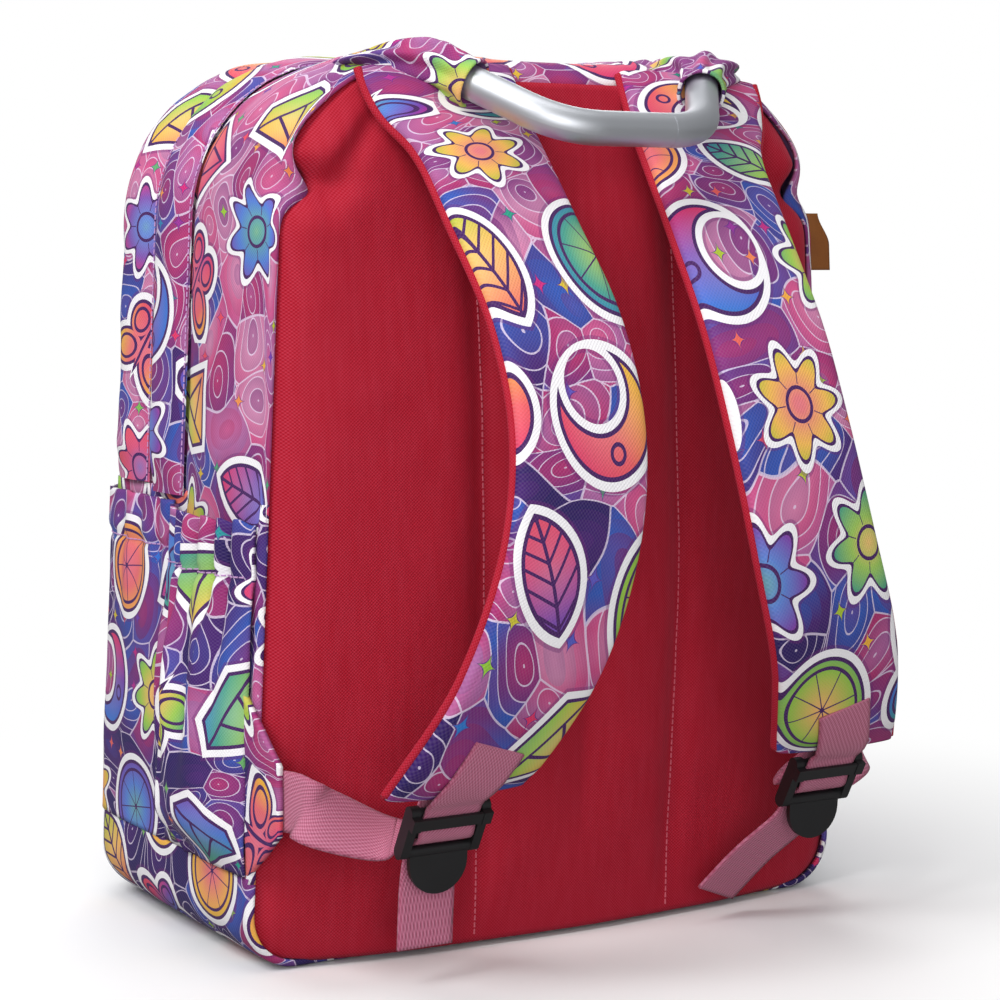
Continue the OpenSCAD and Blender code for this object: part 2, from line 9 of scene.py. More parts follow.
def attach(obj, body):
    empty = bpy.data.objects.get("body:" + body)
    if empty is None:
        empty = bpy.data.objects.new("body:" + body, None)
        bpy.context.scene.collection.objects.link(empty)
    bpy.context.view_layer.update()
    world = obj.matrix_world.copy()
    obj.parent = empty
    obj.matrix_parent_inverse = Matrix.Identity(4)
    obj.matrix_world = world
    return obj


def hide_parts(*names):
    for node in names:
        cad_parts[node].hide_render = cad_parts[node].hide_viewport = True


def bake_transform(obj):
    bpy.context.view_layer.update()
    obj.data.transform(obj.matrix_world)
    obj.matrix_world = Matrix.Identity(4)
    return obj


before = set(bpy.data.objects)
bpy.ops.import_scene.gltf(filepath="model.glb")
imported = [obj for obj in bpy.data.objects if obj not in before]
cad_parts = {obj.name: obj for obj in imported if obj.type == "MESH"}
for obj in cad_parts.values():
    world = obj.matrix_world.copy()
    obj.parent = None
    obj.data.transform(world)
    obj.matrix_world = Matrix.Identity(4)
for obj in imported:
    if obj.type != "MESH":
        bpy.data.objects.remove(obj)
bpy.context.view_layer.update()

bl_info = {
    "name": "School Backpack",
    "version": (1, 0, 0),
    "blender": (4, 5, 0),
    "location": "View3D > Sidebar > Backpack",
    "description": "Sews a school backpack with padded straps, rain flaps and a tube handle",
    "category": "Add Mesh",
}


# Sizes and colours

def length(name, description, default):
    return FloatProperty(name=name, description=description, default=default, min=0.0, unit="LENGTH", precision=4)


def tint(name, description, default):
    return FloatVectorProperty(name=name, description=description, default=default, size=3, subtype="COLOR_GAMMA",
                               min=0.0, max=1.0)


class BackpackSizes(bpy.types.PropertyGroup):
    """Sizes of the sewn pieces"""
    half_width: length("Half width", "Half of the bag's width near the floor", 0.168)
    height: length("Height", "Floor to the top of the bag", 0.422)
    shoulder_radius: length("Shoulder radius", "Radius of the upper corners", 0.078)
    shoulder_half: length("Shoulder centre", "Distance of the upper corner centres from the middle", 0.074)
    foot_radius: length("Foot radius", "Radius of the lower corners", 0.026)
    rear: length("Rear seam", "Distance of the rear seam behind the middle", 0.0895)
    front: length("Front face", "Distance of the front face from the middle", 0.107)
    fold: length("Fold height", "Height of the fold line of the fronts", 0.2155)
    crown: length("Back crown", "How far the stuffed back panel bulges", 0.033)
    channel: length("Quilt line", "Distance of the quilting seams from the middle", 0.055)
    front_round: length("Front rounding", "Radius between the walls and the front", 0.028)
    strap_width: length("Strap width", "Width of a shoulder strap", 0.066)
    strap_thick: length("Strap thickness", "Thickness of a shoulder strap", 0.0125)
    webbing: length("Webbing width", "Width of the webbing", 0.028)
    print_cell: length("Print repeat", "Size of one motif of the print with its surround", 0.060)


class BackpackColours(bpy.types.PropertyGroup):
    """Colours of cloth, webbing and fittings"""
    coral: tint("Coral cloth", "Back panel, strap lining and piping", (0.645, 0.045, 0.127))
    webbing: tint("Webbing", "Adjusting webbing", (0.65, 0.31, 0.42))
    thread: tint("Thread", "Topstitching on the coral cloth", (0.84, 0.40, 0.47))
    lining: tint("Lining", "Inside of the compartments", (0.50, 0.36, 0.56))
    tube: tint("Tube", "Satin metal of the handle", (0.80, 0.81, 0.83))
    plastic: tint("Plastic", "Buckles and tube ends", (0.075, 0.075, 0.08))
    leather: tint("Tab", "Small tab in the rear seam", (0.49, 0.27, 0.07))


def sizes():
    """The sizes set in the scene, in metres."""
    return bpy.context.scene.backpack_sizes


def colour(name):
    """One of the scene's colours, ready for a shader."""
    return linear(getattr(bpy.context.scene.backpack_colours, name))


def linear(rgb):
    """Screen colour to the linear colour that shaders use."""
    return tuple(c / 12.92 if c <= 0.04045 else ((c + 0.055) / 1.055) ** 2.4 for c in rgb) + (1.0,)


# Numbers

def mix(a, b, t):
    """a at t = 0 and b at t = 1."""
    return a + (b - a) * t


def ease(a, b, x):
    """0 up to a, 1 from b on, smooth between."""
    t = min(1.0, max(0.0, (x - a) / (b - a)))
    return t * t * (3 - 2 * t)


def fall(a, b, x):
    """1 up to a, 0 from b on, smooth between."""
    return 1 - ease(a, b, x)


def hump(t):
    """0 at t = 0 and t = 1, and 1 half way."""
    return math.sin(math.pi * t)


def bell(x, width):
    """1 at x = 0, fading on both sides over that width."""
    return math.exp(-min(60.0, (x / width) ** 2))


def ripple(p, scale, seed=0.0):
    """Smooth noise between about -1 and 1, with bumps about as wide as scale."""
    return noise.noise(Vector((p[0] / scale + seed, p[1] / scale - seed, p[2] / scale)))


def spline(points, s):
    """A smooth line through the points, read at s, where a whole number is a point."""
    n = len(points) - 1
    i = min(n - 1, max(0, int(math.floor(s))))
    u = s - i
    a, b, c, d = points[max(0, i - 1)], points[i], points[i + 1], points[min(n, i + 2)]
    return 0.5 * (2 * b + (c - a) * u + (2 * a - 5 * b + 4 * c - d) * u * u + (3 * b - 3 * c + d - a) * u ** 3)


class Route:
    """A line with an outward direction at each point, read by its share of length."""

    def __init__(self, stops):
        self.stops = stops
        self.marks = [0.0]
        for (p, _), (q, _) in zip(stops, stops[1:]):
            self.marks.append(self.marks[-1] + (q - p).length)
        self.length = self.marks[-1]

    def at(self, share):
        want = min(1.0, max(0.0, share)) * self.length
        low, high = 0, len(self.marks) - 2
        while low < high:
            mid = (low + high + 1) // 2
            if self.marks[mid] <= want:
                low = mid
            else:
                high = mid - 1
        t = (want - self.marks[low]) / max(1e-9, self.marks[low + 1] - self.marks[low])
        (p, m), (q, n) = self.stops[low], self.stops[low + 1]
        return p.lerp(q, t), m.lerp(n, t).normalized()


class Outline:
    """The bag's outline seen from behind: leaning sides, round shoulders and feet."""

    def __init__(self):
        s = sizes()
        self.top, self.foot = s.shoulder_radius, s.foot_radius
        self.up = (s.shoulder_half, s.height - s.shoulder_radius)
        self.down = (s.half_width - s.foot_radius, s.foot_radius)
        span = (self.up[0] - self.down[0], self.up[1] - self.down[1])
        self.lean = math.atan2(span[1], span[0]) - math.acos((self.foot - self.top) / math.hypot(*span))

    def on(self, centre, radius, angle):
        return Vector((centre[0] + radius * math.cos(angle), 0, centre[1] + radius * math.sin(angle)))

    def half(self, z, inset=0.0):
        low = self.on(self.down, self.foot - inset, self.lean)
        high = self.on(self.up, self.top - inset, self.lean)
        if z < low.z:
            r = self.foot - inset
            return self.down[0] + math.copysign(math.sqrt(max(0.0, r * r - (z - self.down[1]) ** 2)), r)
        if z > high.z:
            return self.up[0] + math.sqrt(max(0.0, (self.top - inset) ** 2 - (z - self.up[1]) ** 2))
        return mix(low.x, high.x, (z - low.z) / (high.z - low.z))

    def quarter(self, z0, upper):
        """Right-hand half of the outline from height z0 to the middle of the top or of the base."""
        wall = Vector((math.cos(self.lean), 0, math.sin(self.lean)))
        centre, radius = (self.up, self.top) if upper else (self.down, self.foot)
        end = self.on(centre, radius, self.lean)
        start = Vector((self.half(z0), 0, z0))
        stops = [(start.lerp(end, k / 16), wall) for k in range(16)]
        goal = math.pi / 2 if upper else -math.pi / 2
        for k in range(21):
            angle = mix(self.lean, goal, k / 20)
            stops.append((self.on(centre, radius, angle), Vector((math.cos(angle), 0, math.sin(angle)))))
        last = stops[-1]
        for k in range(1, 11):
            stops.append((Vector((last[0].x * (1 - k / 10), 0, last[0].z)), last[1]))
        return stops

    def round(self, z0, upper=True):
        """The whole arch above z0, or the whole cradle below it, from the left wall to the right wall."""
        right = self.quarter(z0, upper)
        flip = Vector((-1, 1, 1))
        left = [(p * flip, n * flip) for p, n in right]
        return Route(left + right[-2::-1])


# Shader maths

def shader_maths(operation, turned=False):
    """A method that adds one maths node, with its own value second where it is turned."""
    def apply(self, *others):
        values = (*others, self) if turned else (self, *others)
        return self.finish.node("ShaderNodeMath", {"operation": operation}, dict(enumerate(values)))
    return apply


class Sum:
    """A shader value that can be used in sums."""

    def __init__(self, finish, socket):
        self.finish, self.socket = finish, socket

    __add__ = __radd__ = shader_maths("ADD")
    __sub__ = shader_maths("SUBTRACT")
    __rsub__ = shader_maths("SUBTRACT", turned=True)
    __mul__ = __rmul__ = shader_maths("MULTIPLY")
    __truediv__ = shader_maths("DIVIDE")
    __rtruediv__ = shader_maths("DIVIDE", turned=True)
    __lt__ = shader_maths("LESS_THAN")
    __gt__ = shader_maths("GREATER_THAN")
    __abs__ = shader_maths("ABSOLUTE")
    least = shader_maths("MINIMUM")
    most = shader_maths("MAXIMUM")
    part = shader_maths("FRACT")
    whole = shader_maths("FLOOR")
    sin = shader_maths("SINE")
    cos = shader_maths("COSINE")
    root = shader_maths("SQRT")
    bearing = shader_maths("ARCTAN2")

    def rise(self, low, high):
        """0 below low, 1 above high, smooth between."""
        return self.finish.node("ShaderNodeMapRange", {"interpolation_type": "SMOOTHSTEP"},
                                {"Value": self, "From Min": low, "From Max": high})

    def ramp(self, stops):
        return self.finish.node("ShaderNodeValToRGB", {"stops": stops}, {"Fac": self})


class Finish:
    """A material, or another holder of shader nodes, that is being put together."""

    def __init__(self, name, store="materials"):
        self.material = getattr(bpy.data, store).new(name)
        self.material.use_nodes = True
        self.tree = self.material.node_tree
        self.tree.nodes.clear()

    def node(self, kind, settings=None, sockets=None, out=0):
        made = self.tree.nodes.new(kind)
        for key, value in (settings or {}).items():
            if key == "stops":
                row = made.color_ramp.elements
                while len(row) < len(value):
                    row.new(0.5)
                for stop, (place, shade) in zip(row, value):
                    stop.position, stop.color = place, linear(shade)
            else:
                setattr(made, key, value)
        for key, value in (sockets or {}).items():
            if isinstance(value, Sum):
                self.tree.links.new(value.socket, made.inputs[key])
            else:
                made.inputs[key].default_value = value
        return Sum(self, made.outputs[out] if made.outputs else None)

    def split(self, value):
        """The three numbers of a vector."""
        first = self.node("ShaderNodeSeparateXYZ", None, {0: value})
        outs = first.socket.node.outputs
        return [Sum(self, outs[k]) for k in range(3)]

    def join(self, x, y, z=0.0):
        return self.node("ShaderNodeCombineXYZ", None, {0: x, 1: y, 2: z})

    def dice(self, x, y):
        """Three numbers by chance for each whole x and y."""
        return self.node("ShaderNodeTexWhiteNoise", {"noise_dimensions": "2D"}, {"Vector": self.join(x, y)}, out=1)

    def blend(self, factor, a, b):
        return self.node("ShaderNodeMix", {"data_type": "RGBA"}, {0: factor, 6: a, 7: b}, out=2)

    def uv(self):
        return self.node("ShaderNodeUVMap", {"uv_map": "cloth"})

    def spot(self):
        return self.node("ShaderNodeTexCoord", None, None, out=3)

    def noise(self, where, scale, detail=1.0, distortion=0.0, flat=False):
        return self.node("ShaderNodeTexNoise", {"noise_dimensions": "2D" if flat else "3D"},
                         {"Vector": where, "Scale": scale, "Detail": detail, "Distortion": distortion})

    def done(self, base, rough, height=None, lift=0.0005, strength=0.5, **fixed):
        sockets = {"Base Color": base, "Roughness": rough}
        if height is not None:
            sockets["Normal"] = self.node("ShaderNodeBump", None,
                                          {"Height": height, "Distance": lift, "Strength": strength})
        sockets.update({key.replace("_", " "): value for key, value in fixed.items()})
        shader = self.node("ShaderNodeBsdfPrincipled", None, sockets)
        self.node("ShaderNodeOutputMaterial", None, {"Surface": shader})
        return self.material


def weave(u, v, pitch):
    """Height of a plain weave with that thread pitch."""
    a = (u * (math.pi / pitch)).sin()
    b = (v * (math.pi / pitch)).sin()
    return a * b * 0.5 + 0.5


# Colour ramps of the print: the cut-outs, and the waves behind them
SWEETS = [(0.0, (0.84, 0.10, 0.40)), (0.17, (0.90, 0.32, 0.34)), (0.32, (0.94, 0.70, 0.20)),
          (0.46, (0.58, 0.77, 0.16)), (0.60, (0.10, 0.60, 0.50)), (0.74, (0.15, 0.43, 0.80)),
          (0.87, (0.44, 0.18, 0.64)), (1.0, (0.84, 0.10, 0.40))]
WAVES = [(0.0, (0.13, 0.08, 0.35)), (0.14, (0.27, 0.11, 0.43)), (0.27, (0.15, 0.34, 0.70)),
         (0.39, (0.45, 0.18, 0.48)), (0.52, (0.70, 0.18, 0.42)), (0.64, (0.68, 0.41, 0.63)),
         (0.76, (0.82, 0.31, 0.52)), (0.88, (0.82, 0.54, 0.69)), (1.0, (0.54, 0.23, 0.50))]


def printed_cloth():
    """Woven cloth printed with swirling waves and white-edged cut-outs of flowers, fruit, moons and wings."""
    f = Finish("printed cloth")
    u, v, _ = f.split(f.uv())
    where = f.join(u, v)
    cell = sizes().print_cell
    row = (v / cell).whole()
    across = u / cell + row * 0.37
    column = across.whole()
    pick, spin, hue = f.split(f.dice(column, row))
    x, y = across.part() - 0.5, (v / cell).part() - 0.5
    turn = (spin - 0.5) * 2.2
    c, s = turn.cos(), turn.sin()
    x, y = (x * c - y * s) / 1.13, (x * s + y * c) / 1.13
    ax = abs(x)
    rad = (x * x + y * y).root()
    angle = y.bearing(x)

    def far(a, b):
        return (a * a + b * b).root()

    petals = (angle * 7.0).cos()
    wx, wy = (ax - 0.185) * 0.83 + (y - 0.10) * 0.56, (y - 0.10) * 0.83 - (ax - 0.185) * 0.56
    wing = far(wx / 0.21, wy / 0.135) * 0.15 - 0.15
    tail = far((ax - 0.125) / 0.125, (y + 0.165) / 0.14) * 0.13 - 0.13
    shapes = [
        (rad - petals * 0.065 - 0.265,
         abs(rad - 0.10).least(abs((angle * 3.5).cos()) * rad + (rad < 0.12)), rad * 1.9),
        (rad - 0.335, abs(rad - 0.275).least(abs((angle * 4.0).sin()) * rad * 0.7 + (rad > 0.27)), rad * 1.6),
        ((rad - 0.345).most(0.27 - far(x - 0.15, y - 0.06)), abs(far(x + 0.20, y + 0.10) - 0.05), y + 0.5),
        (wing.least(tail).least(ax * 4.0 + abs(y) - 0.22),
         abs(wing + 0.055).least(abs(tail + 0.05)).least(ax), ax * 1.9 + y * 0.4 + 0.2),
        ((y - 0.2).most(ax * 0.73 + y * 0.68 - 0.282).most(ax * 0.763 - y * 0.646 - 0.213),
         abs(y - 0.06).least(abs(ax * 0.9 - y * 0.35 - 0.085) + (y > 0.06)), y * 1.1 + x * 0.5 + 0.4),
        (far(ax + 0.22, y) - 0.41, ax.least(abs(((y - ax * 0.9) * 8.0).part() - 0.5) * 0.12), y * 0.9 + 0.5),
    ]
    edge, line, shade = shapes[0]
    share = 1.0 / 6.6
    for k, (rim, ink, tone) in enumerate(shapes[1:], 1):
        here = pick > k * share
        edge = edge + (rim - edge) * here
        line = line + (ink - line) * here
        shade = shade + (tone - shade) * here
    edge = edge + (pick > len(shapes) * share)
    fill = (shade * 0.42 + hue * 2.7).part().ramp(SWEETS)
    fill = f.blend((1.0 - (rad * 2.6).least(1.0)) * 0.14, fill, linear((1, 1, 1)))
    inked = ((line < 0.012) * (edge < 0.0)).most(abs(edge) < 0.013)

    big = f.noise(where, 8.0, 1.0, 0.5, flat=True)
    drift = f.noise(where, 14.0, 1.0, 0.0, flat=True) * 0.046
    swell = f.noise(f.join(u + 3.0, v), 11.0, 1.0, 0.0, flat=True) * 0.052
    curl = {"Vector": f.join((u + drift) * 0.75, v + swell), "Scale": 42.0, "Randomness": 0.95}
    rings = f.node("ShaderNodeTexVoronoi", {"voronoi_dimensions": "2D"}, curl)
    patch, other, _ = f.split(f.node("ShaderNodeTexVoronoi", {"voronoi_dimensions": "2D"}, curl, out=1))
    seam = f.node("ShaderNodeTexVoronoi", {"voronoi_dimensions": "2D", "feature": "DISTANCE_TO_EDGE"}, curl)
    steps = rings * 5.0
    near = steps.part()
    height = f.split(f.spot())[2]
    # Height on the bag shifts the waves' tone darker and bluer towards the bottom: partly the print's own shift,
    # partly painted shade on the lower parts
    tone = patch * 0.75 + big * 0.6 + height * 1.5 - steps.whole() * 0.05 - 0.46
    waves = f.blend(near * 0.22, tone.ramp(WAVES), linear((0.24, 0.07, 0.36)))
    lines = ((near < 0.10) * (other > 0.30)).most(seam < 0.014)
    waves = f.blend(lines * 0.7, waves, linear((0.90, 0.84, 0.93)))

    small = 0.0175
    bu, bv = u / small + 0.31, v / small + 0.17
    sx, sy, sh = f.split(f.dice(bu.whole(), bv.whole()))
    px, py = abs(bu.part() - sx * 0.4 - 0.3), abs(bv.part() - sy * 0.4 - 0.3)
    glint = px.root() + py.root()
    spark = (glint < 0.50) * (sh > 0.66)
    waves = f.blend((glint < 0.56) * (sh > 0.66), waves, linear((0.35, 0.15, 0.50)))
    waves = f.blend(spark, waves, (sh * 9.0).part().ramp(SWEETS))

    shadow = (edge < 0.085) * 0.45
    base = f.blend(shadow, waves, linear((0.38, 0.10, 0.42)))
    base = f.blend(edge < 0.062, base, linear((0.965, 0.955, 0.965)))
    base = f.blend(edge < 0.0, base, fill)
    base = f.blend(inked, base, linear((0.26, 0.09, 0.36)))
    threads = weave(u, v, 0.00085)
    base = f.blend(threads * 0.06, base, linear((0.88, 0.80, 0.90)))
    creases = f.noise(f.spot(), 26.0, 2.0)
    return f.done(base, 0.72 - threads * 0.1, threads * 0.5 + creases * 2.6, 0.0006, 0.55,
                  Sheen_Weight=0.03, Sheen_Roughness=0.5, Specular_IOR_Level=0.12)


def coral_cloth():
    """Coarse plain weave in coral red; the paler colour on the thread crowns is partly the thread's own tint and
    partly a painted highlight that gives a pink bloom.
    """
    f = Finish("coral cloth")
    u, v, _ = f.split(f.uv())
    threads = weave(u, v, 0.0008)
    slub = f.noise(f.join(u * 260.0, v * 40.0), 1.0, 2.0)
    body = colour("coral")
    # Paler colour on the thread crowns: partly the thread's own tint, partly a painted highlight
    crown_tint_and_highlight = linear((0.84, 0.30, 0.40))
    base = f.blend(threads * 0.42 + slub * 0.20 - 0.14, body, crown_tint_and_highlight)
    creases = f.noise(f.spot(), 18.0, 2.0)
    return f.done(base, 0.68 - threads * 0.12, threads * 0.5 + creases * 2.4, 0.0007, 0.6,
                  Sheen_Weight=0.17, Sheen_Roughness=0.5, Sheen_Tint=linear((1.0, 0.5, 0.6)), Specular_IOR_Level=0.1)


def webbing_cloth():
    """Ribbed webbing with a fine diagonal weave and darker edges."""
    f = Finish("pink webbing")
    u, v, _ = f.split(f.uv())
    ribs = weave(u + v * 0.5, v, 0.0009)
    rim = abs(u).rise(0.0118, 0.0135)
    # Paler colour on the rib crowns: partly the thread's own tint, partly a painted highlight on the ribs
    base = f.blend(ribs * 0.75, colour("webbing"), linear((0.88, 0.58, 0.69)))
    base = f.blend(rim * 0.35, base, linear((0.62, 0.24, 0.36)))
    return f.done(base, 0.6, ribs + rim * 0.6, 0.0005, 0.7, Sheen_Weight=0.1, Specular_IOR_Level=0.3)


def lining_cloth():
    """Thin smooth lining."""
    f = Finish("lining cloth")
    spot = f.spot()
    x, y, z = f.split(spot)
    threads = weave(x + y, z, 0.0007)
    folds = f.noise(spot, 30.0, 2.0)
    base = f.blend(folds * 0.4, colour("lining"), linear((0.62, 0.48, 0.68)))
    return f.done(base, 0.6, threads * 0.2 + folds * 2.0, 0.0005, 0.4)


PLUM = (0.80, 0.62, 0.82)


def thread_cord(name, shade):
    """Twisted sewing thread."""
    f = Finish(name)
    x, y, z = f.split(f.spot())
    twist = ((x + y + z) * 9000.0).sin() * 0.5 + 0.5
    base = f.blend(twist * 0.3, linear(shade), linear(tuple(c * 0.75 for c in shade)))
    return f.done(base, 0.6, twist, 0.0001, 0.3)


def satin_tube():
    """Bead-blasted aluminium tube."""
    f = Finish("satin tube")
    grain = f.noise(f.spot(), 900.0, 2.0)
    cloud = f.noise(f.spot(), 25.0, 1.0)
    return f.done(colour("tube"), 0.46 + cloud * 0.06, grain, 0.00004, 0.25, Metallic=1.0)


def moulded_plastic():
    """Fine-grained black moulding."""
    f = Finish("black moulding")
    grain = f.noise(f.spot(), 1500.0, 2.0)
    cloud = f.noise(f.spot(), 60.0, 2.0)
    base = f.blend(cloud * 0.4, colour("plastic"), linear((0.13, 0.13, 0.14)))
    return f.done(base, 0.40 + cloud * 0.12, grain, 0.00005, 0.35, Specular_IOR_Level=0.45)


def nickel():
    """Worn satin nickel on the zip sliders."""
    f = Finish("satin nickel")
    wear = f.noise(f.spot(), 300.0, 3.0)
    base = f.blend(wear * 0.5, linear((0.60, 0.59, 0.60)), linear((0.78, 0.77, 0.76)))
    return f.done(base, 0.24 + wear * 0.15, wear, 0.00005, 0.2, Metallic=1.0)


def zip_tape():
    """Herringbone zip tape in plum."""
    f = Finish("zip tape")
    x, y, z = f.split(f.spot())
    threads = weave(y * 2.0, z + x, 0.0008)
    base = f.blend(threads * 0.5, linear((0.36, 0.15, 0.42)), linear((0.52, 0.26, 0.56)))
    return f.done(base, 0.65, threads, 0.0002, 0.5)


def zip_teeth():
    """Moulded zip teeth."""
    f = Finish("zip teeth")
    cloud = f.noise(f.spot(), 200.0, 2.0)
    base = f.blend(cloud * 0.4, linear((0.62, 0.30, 0.62)), linear((0.75, 0.45, 0.74)))
    return f.done(base, 0.35, cloud, 0.0001, 0.3)


def tab_leather():
    """Grained leather-look tab."""
    f = Finish("tab leather")
    grain = f.node("ShaderNodeTexVoronoi", {"feature": "DISTANCE_TO_EDGE"}, {"Vector": f.spot(), "Scale": 900.0})
    cloud = f.noise(f.spot(), 120.0, 2.0)
    base = f.blend(cloud * 0.6, colour("leather"), linear((0.62, 0.38, 0.12)))
    return f.done(base, 0.5, grain, 0.0003, 0.5)


MAKERS = {
    "print": printed_cloth, "coral": coral_cloth, "webbing": webbing_cloth, "lining": lining_cloth,
    "tube": satin_tube, "plastic": moulded_plastic, "nickel": nickel, "tape": zip_tape, "teeth": zip_teeth,
    "leather": tab_leather,
    "pale thread": lambda: thread_cord("pale thread", bpy.context.scene.backpack_colours.thread),
    "plum thread": lambda: thread_cord("plum thread", PLUM),
}
SHELF = {}


def material(name):
    """A finish, made when it is first asked for."""
    if name not in SHELF:
        SHELF[name] = MAKERS[name]()
    return SHELF[name]


# Cloth

HEART = Vector((0, 0.01, 0.2))  # in the middle of the bag; sheets face away from it
SIDES = ((-1, "left"), (1, "right"))
RULES = 64  # steps in which a sheet is measured


def ruler(place):
    """A function that gives flat lengths, in metres, from the two middle lines of a mapped cloth."""
    def marks(read):
        row, last = [0.0], read(0.0)
        for k in range(1, RULES + 1):
            now = read(k / RULES)
            row.append(row[-1] + (now - last).length)
            last = now
        return row
    rows = [marks(lambda t: place(t, 0.5)), marks(lambda t: place(0.5, t))]

    def read(row, t):
        k = min(RULES - 1, int(t * RULES))
        return mix(row[k], row[k + 1], t * RULES - k)
    return lambda a, b: (read(rows[0], a), read(rows[1], b))


def show(name, bm, *finishes):
    """Puts a mesh into the scene, under a name that no CAD node has."""
    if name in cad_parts:
        name += "_sewn"
    mesh = bpy.data.meshes.new(name)
    bm.to_mesh(mesh)
    bm.free()
    made = bpy.data.objects.new(name, mesh)
    bpy.context.scene.collection.objects.link(made)
    for finish in finishes:
        mesh.materials.append(material(finish))
    return made


def cloth(name, columns, rows, place, finishes, shift=(0.0, 0.0), flat=None, tube="", paint=None):
    """A grid of cloth laid along place(a, b), with its flat lengths as its UV map."""
    bm = bmesh.new()
    bmesh.ops.create_grid(bm, x_segments=columns, y_segments=rows, size=0.5)
    spots = {v: (v.co.x + 0.5, v.co.y + 0.5) for v in bm.verts}
    layer = bm.loops.layers.uv.new("cloth")
    if flat is None:
        flat = ruler(place)
    for face in bm.faces:
        face.smooth = True
        for loop in face.loops:
            p = flat(*spots[loop.vert])
            loop[layer].uv = (p[0] + shift[0], p[1] + shift[1])
        if paint:
            face.material_index = paint(*[sum(spots[v][k] for v in face.verts) / 4 for k in (0, 1)])
    for v, (a, b) in spots.items():
        v.co = place(a, b)
    if tube:
        bmesh.ops.remove_doubles(bm, verts=bm.verts, dist=1e-6)
        if tube == "closed":
            bmesh.ops.holes_fill(bm, edges=[e for e in bm.edges if e.is_boundary], sides=0)
        bmesh.ops.recalc_face_normals(bm, faces=bm.faces)
    else:
        bm.normal_update()
        if sum(face.normal.dot(face.calc_center_median() - HEART) * face.calc_area() for face in bm.faces) < 0:
            bmesh.ops.reverse_faces(bm, faces=bm.faces)
    return show(name, bm, *finishes)


def line_wall(piece, thick, inside=False, offset=-1.0):
    """Gives a sheet its thickness, with the second finish on its inner side."""
    wall = piece.modifiers.new("thickness", "SOLIDIFY")
    wall.thickness, wall.offset = thick, offset
    if inside:
        wall.material_offset = 1
    return piece


def sewn(piece, body, slot, *nodes, flat=None, held="stretched"):
    """Puts a finished piece on its body in place of its CAD nodes."""
    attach(piece, body)
    return declared(piece, nodes)


def bending(piece, a, b, start, end, slot, *nodes, flat=None, held="stretched"):
    """Puts a finished piece that spans a joint in place of its CAD nodes, with its placement baked into its mesh; it
    is not bent and hangs on no body.
    """
    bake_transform(piece)
    return declared(piece, nodes)


def declared(piece, nodes):
    """Hides the CAD nodes that a piece stands for."""
    if nodes:
        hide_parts(*nodes)
    return piece


def stitches(name, line, finish, pitch=0.0034, long=0.0024, thick=0.00042):
    """A row of thread stitches along line(t), which gives a point and the way out of the cloth."""
    route = Route([line(k / 300) for k in range(301)])
    bm = bmesh.new()
    count = max(2, int(route.length / pitch))
    for k in range(count):
        a, _ = route.at((k + 0.15) / count)
        b, _ = route.at((k + 0.85) / count)
        p, out = route.at((k + 0.5) / count)
        way = b - a
        if way.length < 1e-7:
            continue
        turn = way.to_track_quat("Z", "Y").to_matrix().to_4x4()
        bmesh.ops.create_cone(bm, cap_ends=True, segments=5, radius1=thick, radius2=thick * 0.8, depth=long,
                              matrix=Matrix.Translation(p + out * thick * 0.5) @ turn)
    return show(name, bm, finish)


# Bag shell

def notch(z):
    """How far the gathers below the shoulder pull the rear seam inwards."""
    return 0.0125 * bell(z - 0.361, 0.010) - 0.0022 * bell(z - 0.385, 0.012)


def panel_inset(z):
    return 0.0025 + max(0.0, notch(z))


def back_point(outline, x, z):
    """A point of the stuffed back panel."""
    s = sizes()
    share = z / s.height
    rise = max(0.06, 0.42 + 2.0 * share - 2.3 * share * share)
    side = min(1.0, abs(x) / outline.half(z, panel_inset(z)))
    line = s.channel
    deep = 0.0042 * ease(0.0, 0.05, z) * (1 - ease(0.36, 0.405, z) * 0.8)
    swell = s.crown * rise * (1 - side ** 2.4) - deep * bell(abs(x) - line, 0.0075)
    swell += 0.004 * hump(min(1.0, abs(x) / line)) * ease(0.02, 0.1, z) \
        * fall(0.3, 0.4, z) * (abs(x) < line)
    edge = 1 - side
    pull = 0.0016 * math.sin((z * 0.9 + abs(x) * 0.45) / 0.0052 + 2.2 * ripple((x, 0, z), 0.05)) \
        * bell(edge, 0.16) * ease(0.30, 0.37, z) * ease(0.0, 0.05, edge)
    soft = 0.0016 * ripple((x, 0, z), 0.075, 3.1) + 0.0006 * ripple((x, 0, z), 0.026, 7.7)
    span = edge * outline.half(z, panel_inset(z)) / 0.020
    swell += 0.0062 * span * math.exp(1 - span) * ease(0.06, 0.16, z) * (1 - 0.7 * ease(0.37, 0.405, z))
    fold = abs(x) - mix(0.128, 0.100, ease(0.350, 0.405, z))
    swell -= 0.0042 * bell(fold, 0.0065) * ease(0.335, 0.362, z) * fall(0.385, 0.405, z)
    return Vector((x, -s.rear - swell - (soft + pull) * ease(0.0, 0.12, edge) + 0.0035 * bell(edge, 0.035), z))


def roll(x, z):
    """Radius with which the walls turn in to the back panel: fuller at the top and in the gathers."""
    return mix(0.0035, 0.0138, ease(0.37, 0.41, z) * (1 - ease(0.088, 0.114, abs(x)))) + notch(z)


def wall_depth(b, first, last, x, z, front=False):
    """Depth and inward pull of a wall at share b, with its rolled rear edge and rounded front."""
    s = sizes()
    r = roll(x, z)
    if b < 0.10 and first < -s.rear + 0.01:
        angle = b / 0.10 * math.pi / 2
        return -s.rear - 0.001 + r * (1 - math.cos(angle)), -r * (1 - math.sin(angle))
    start = -s.rear - 0.001 + r if first < -s.rear + 0.01 else first
    low = 0.10 if first < -s.rear + 0.01 else 0.0
    if front and b > 0.72:
        angle = (b - 0.72) / 0.28 * math.pi / 2
        return s.front - s.front_round * (1 - math.sin(angle)), -s.front_round * (1 - math.cos(angle))
    high = 0.72 if front else 1.0
    goal = s.front - s.front_round if front else last
    return mix(start, goal, (b - low) / (high - low)), 0.0


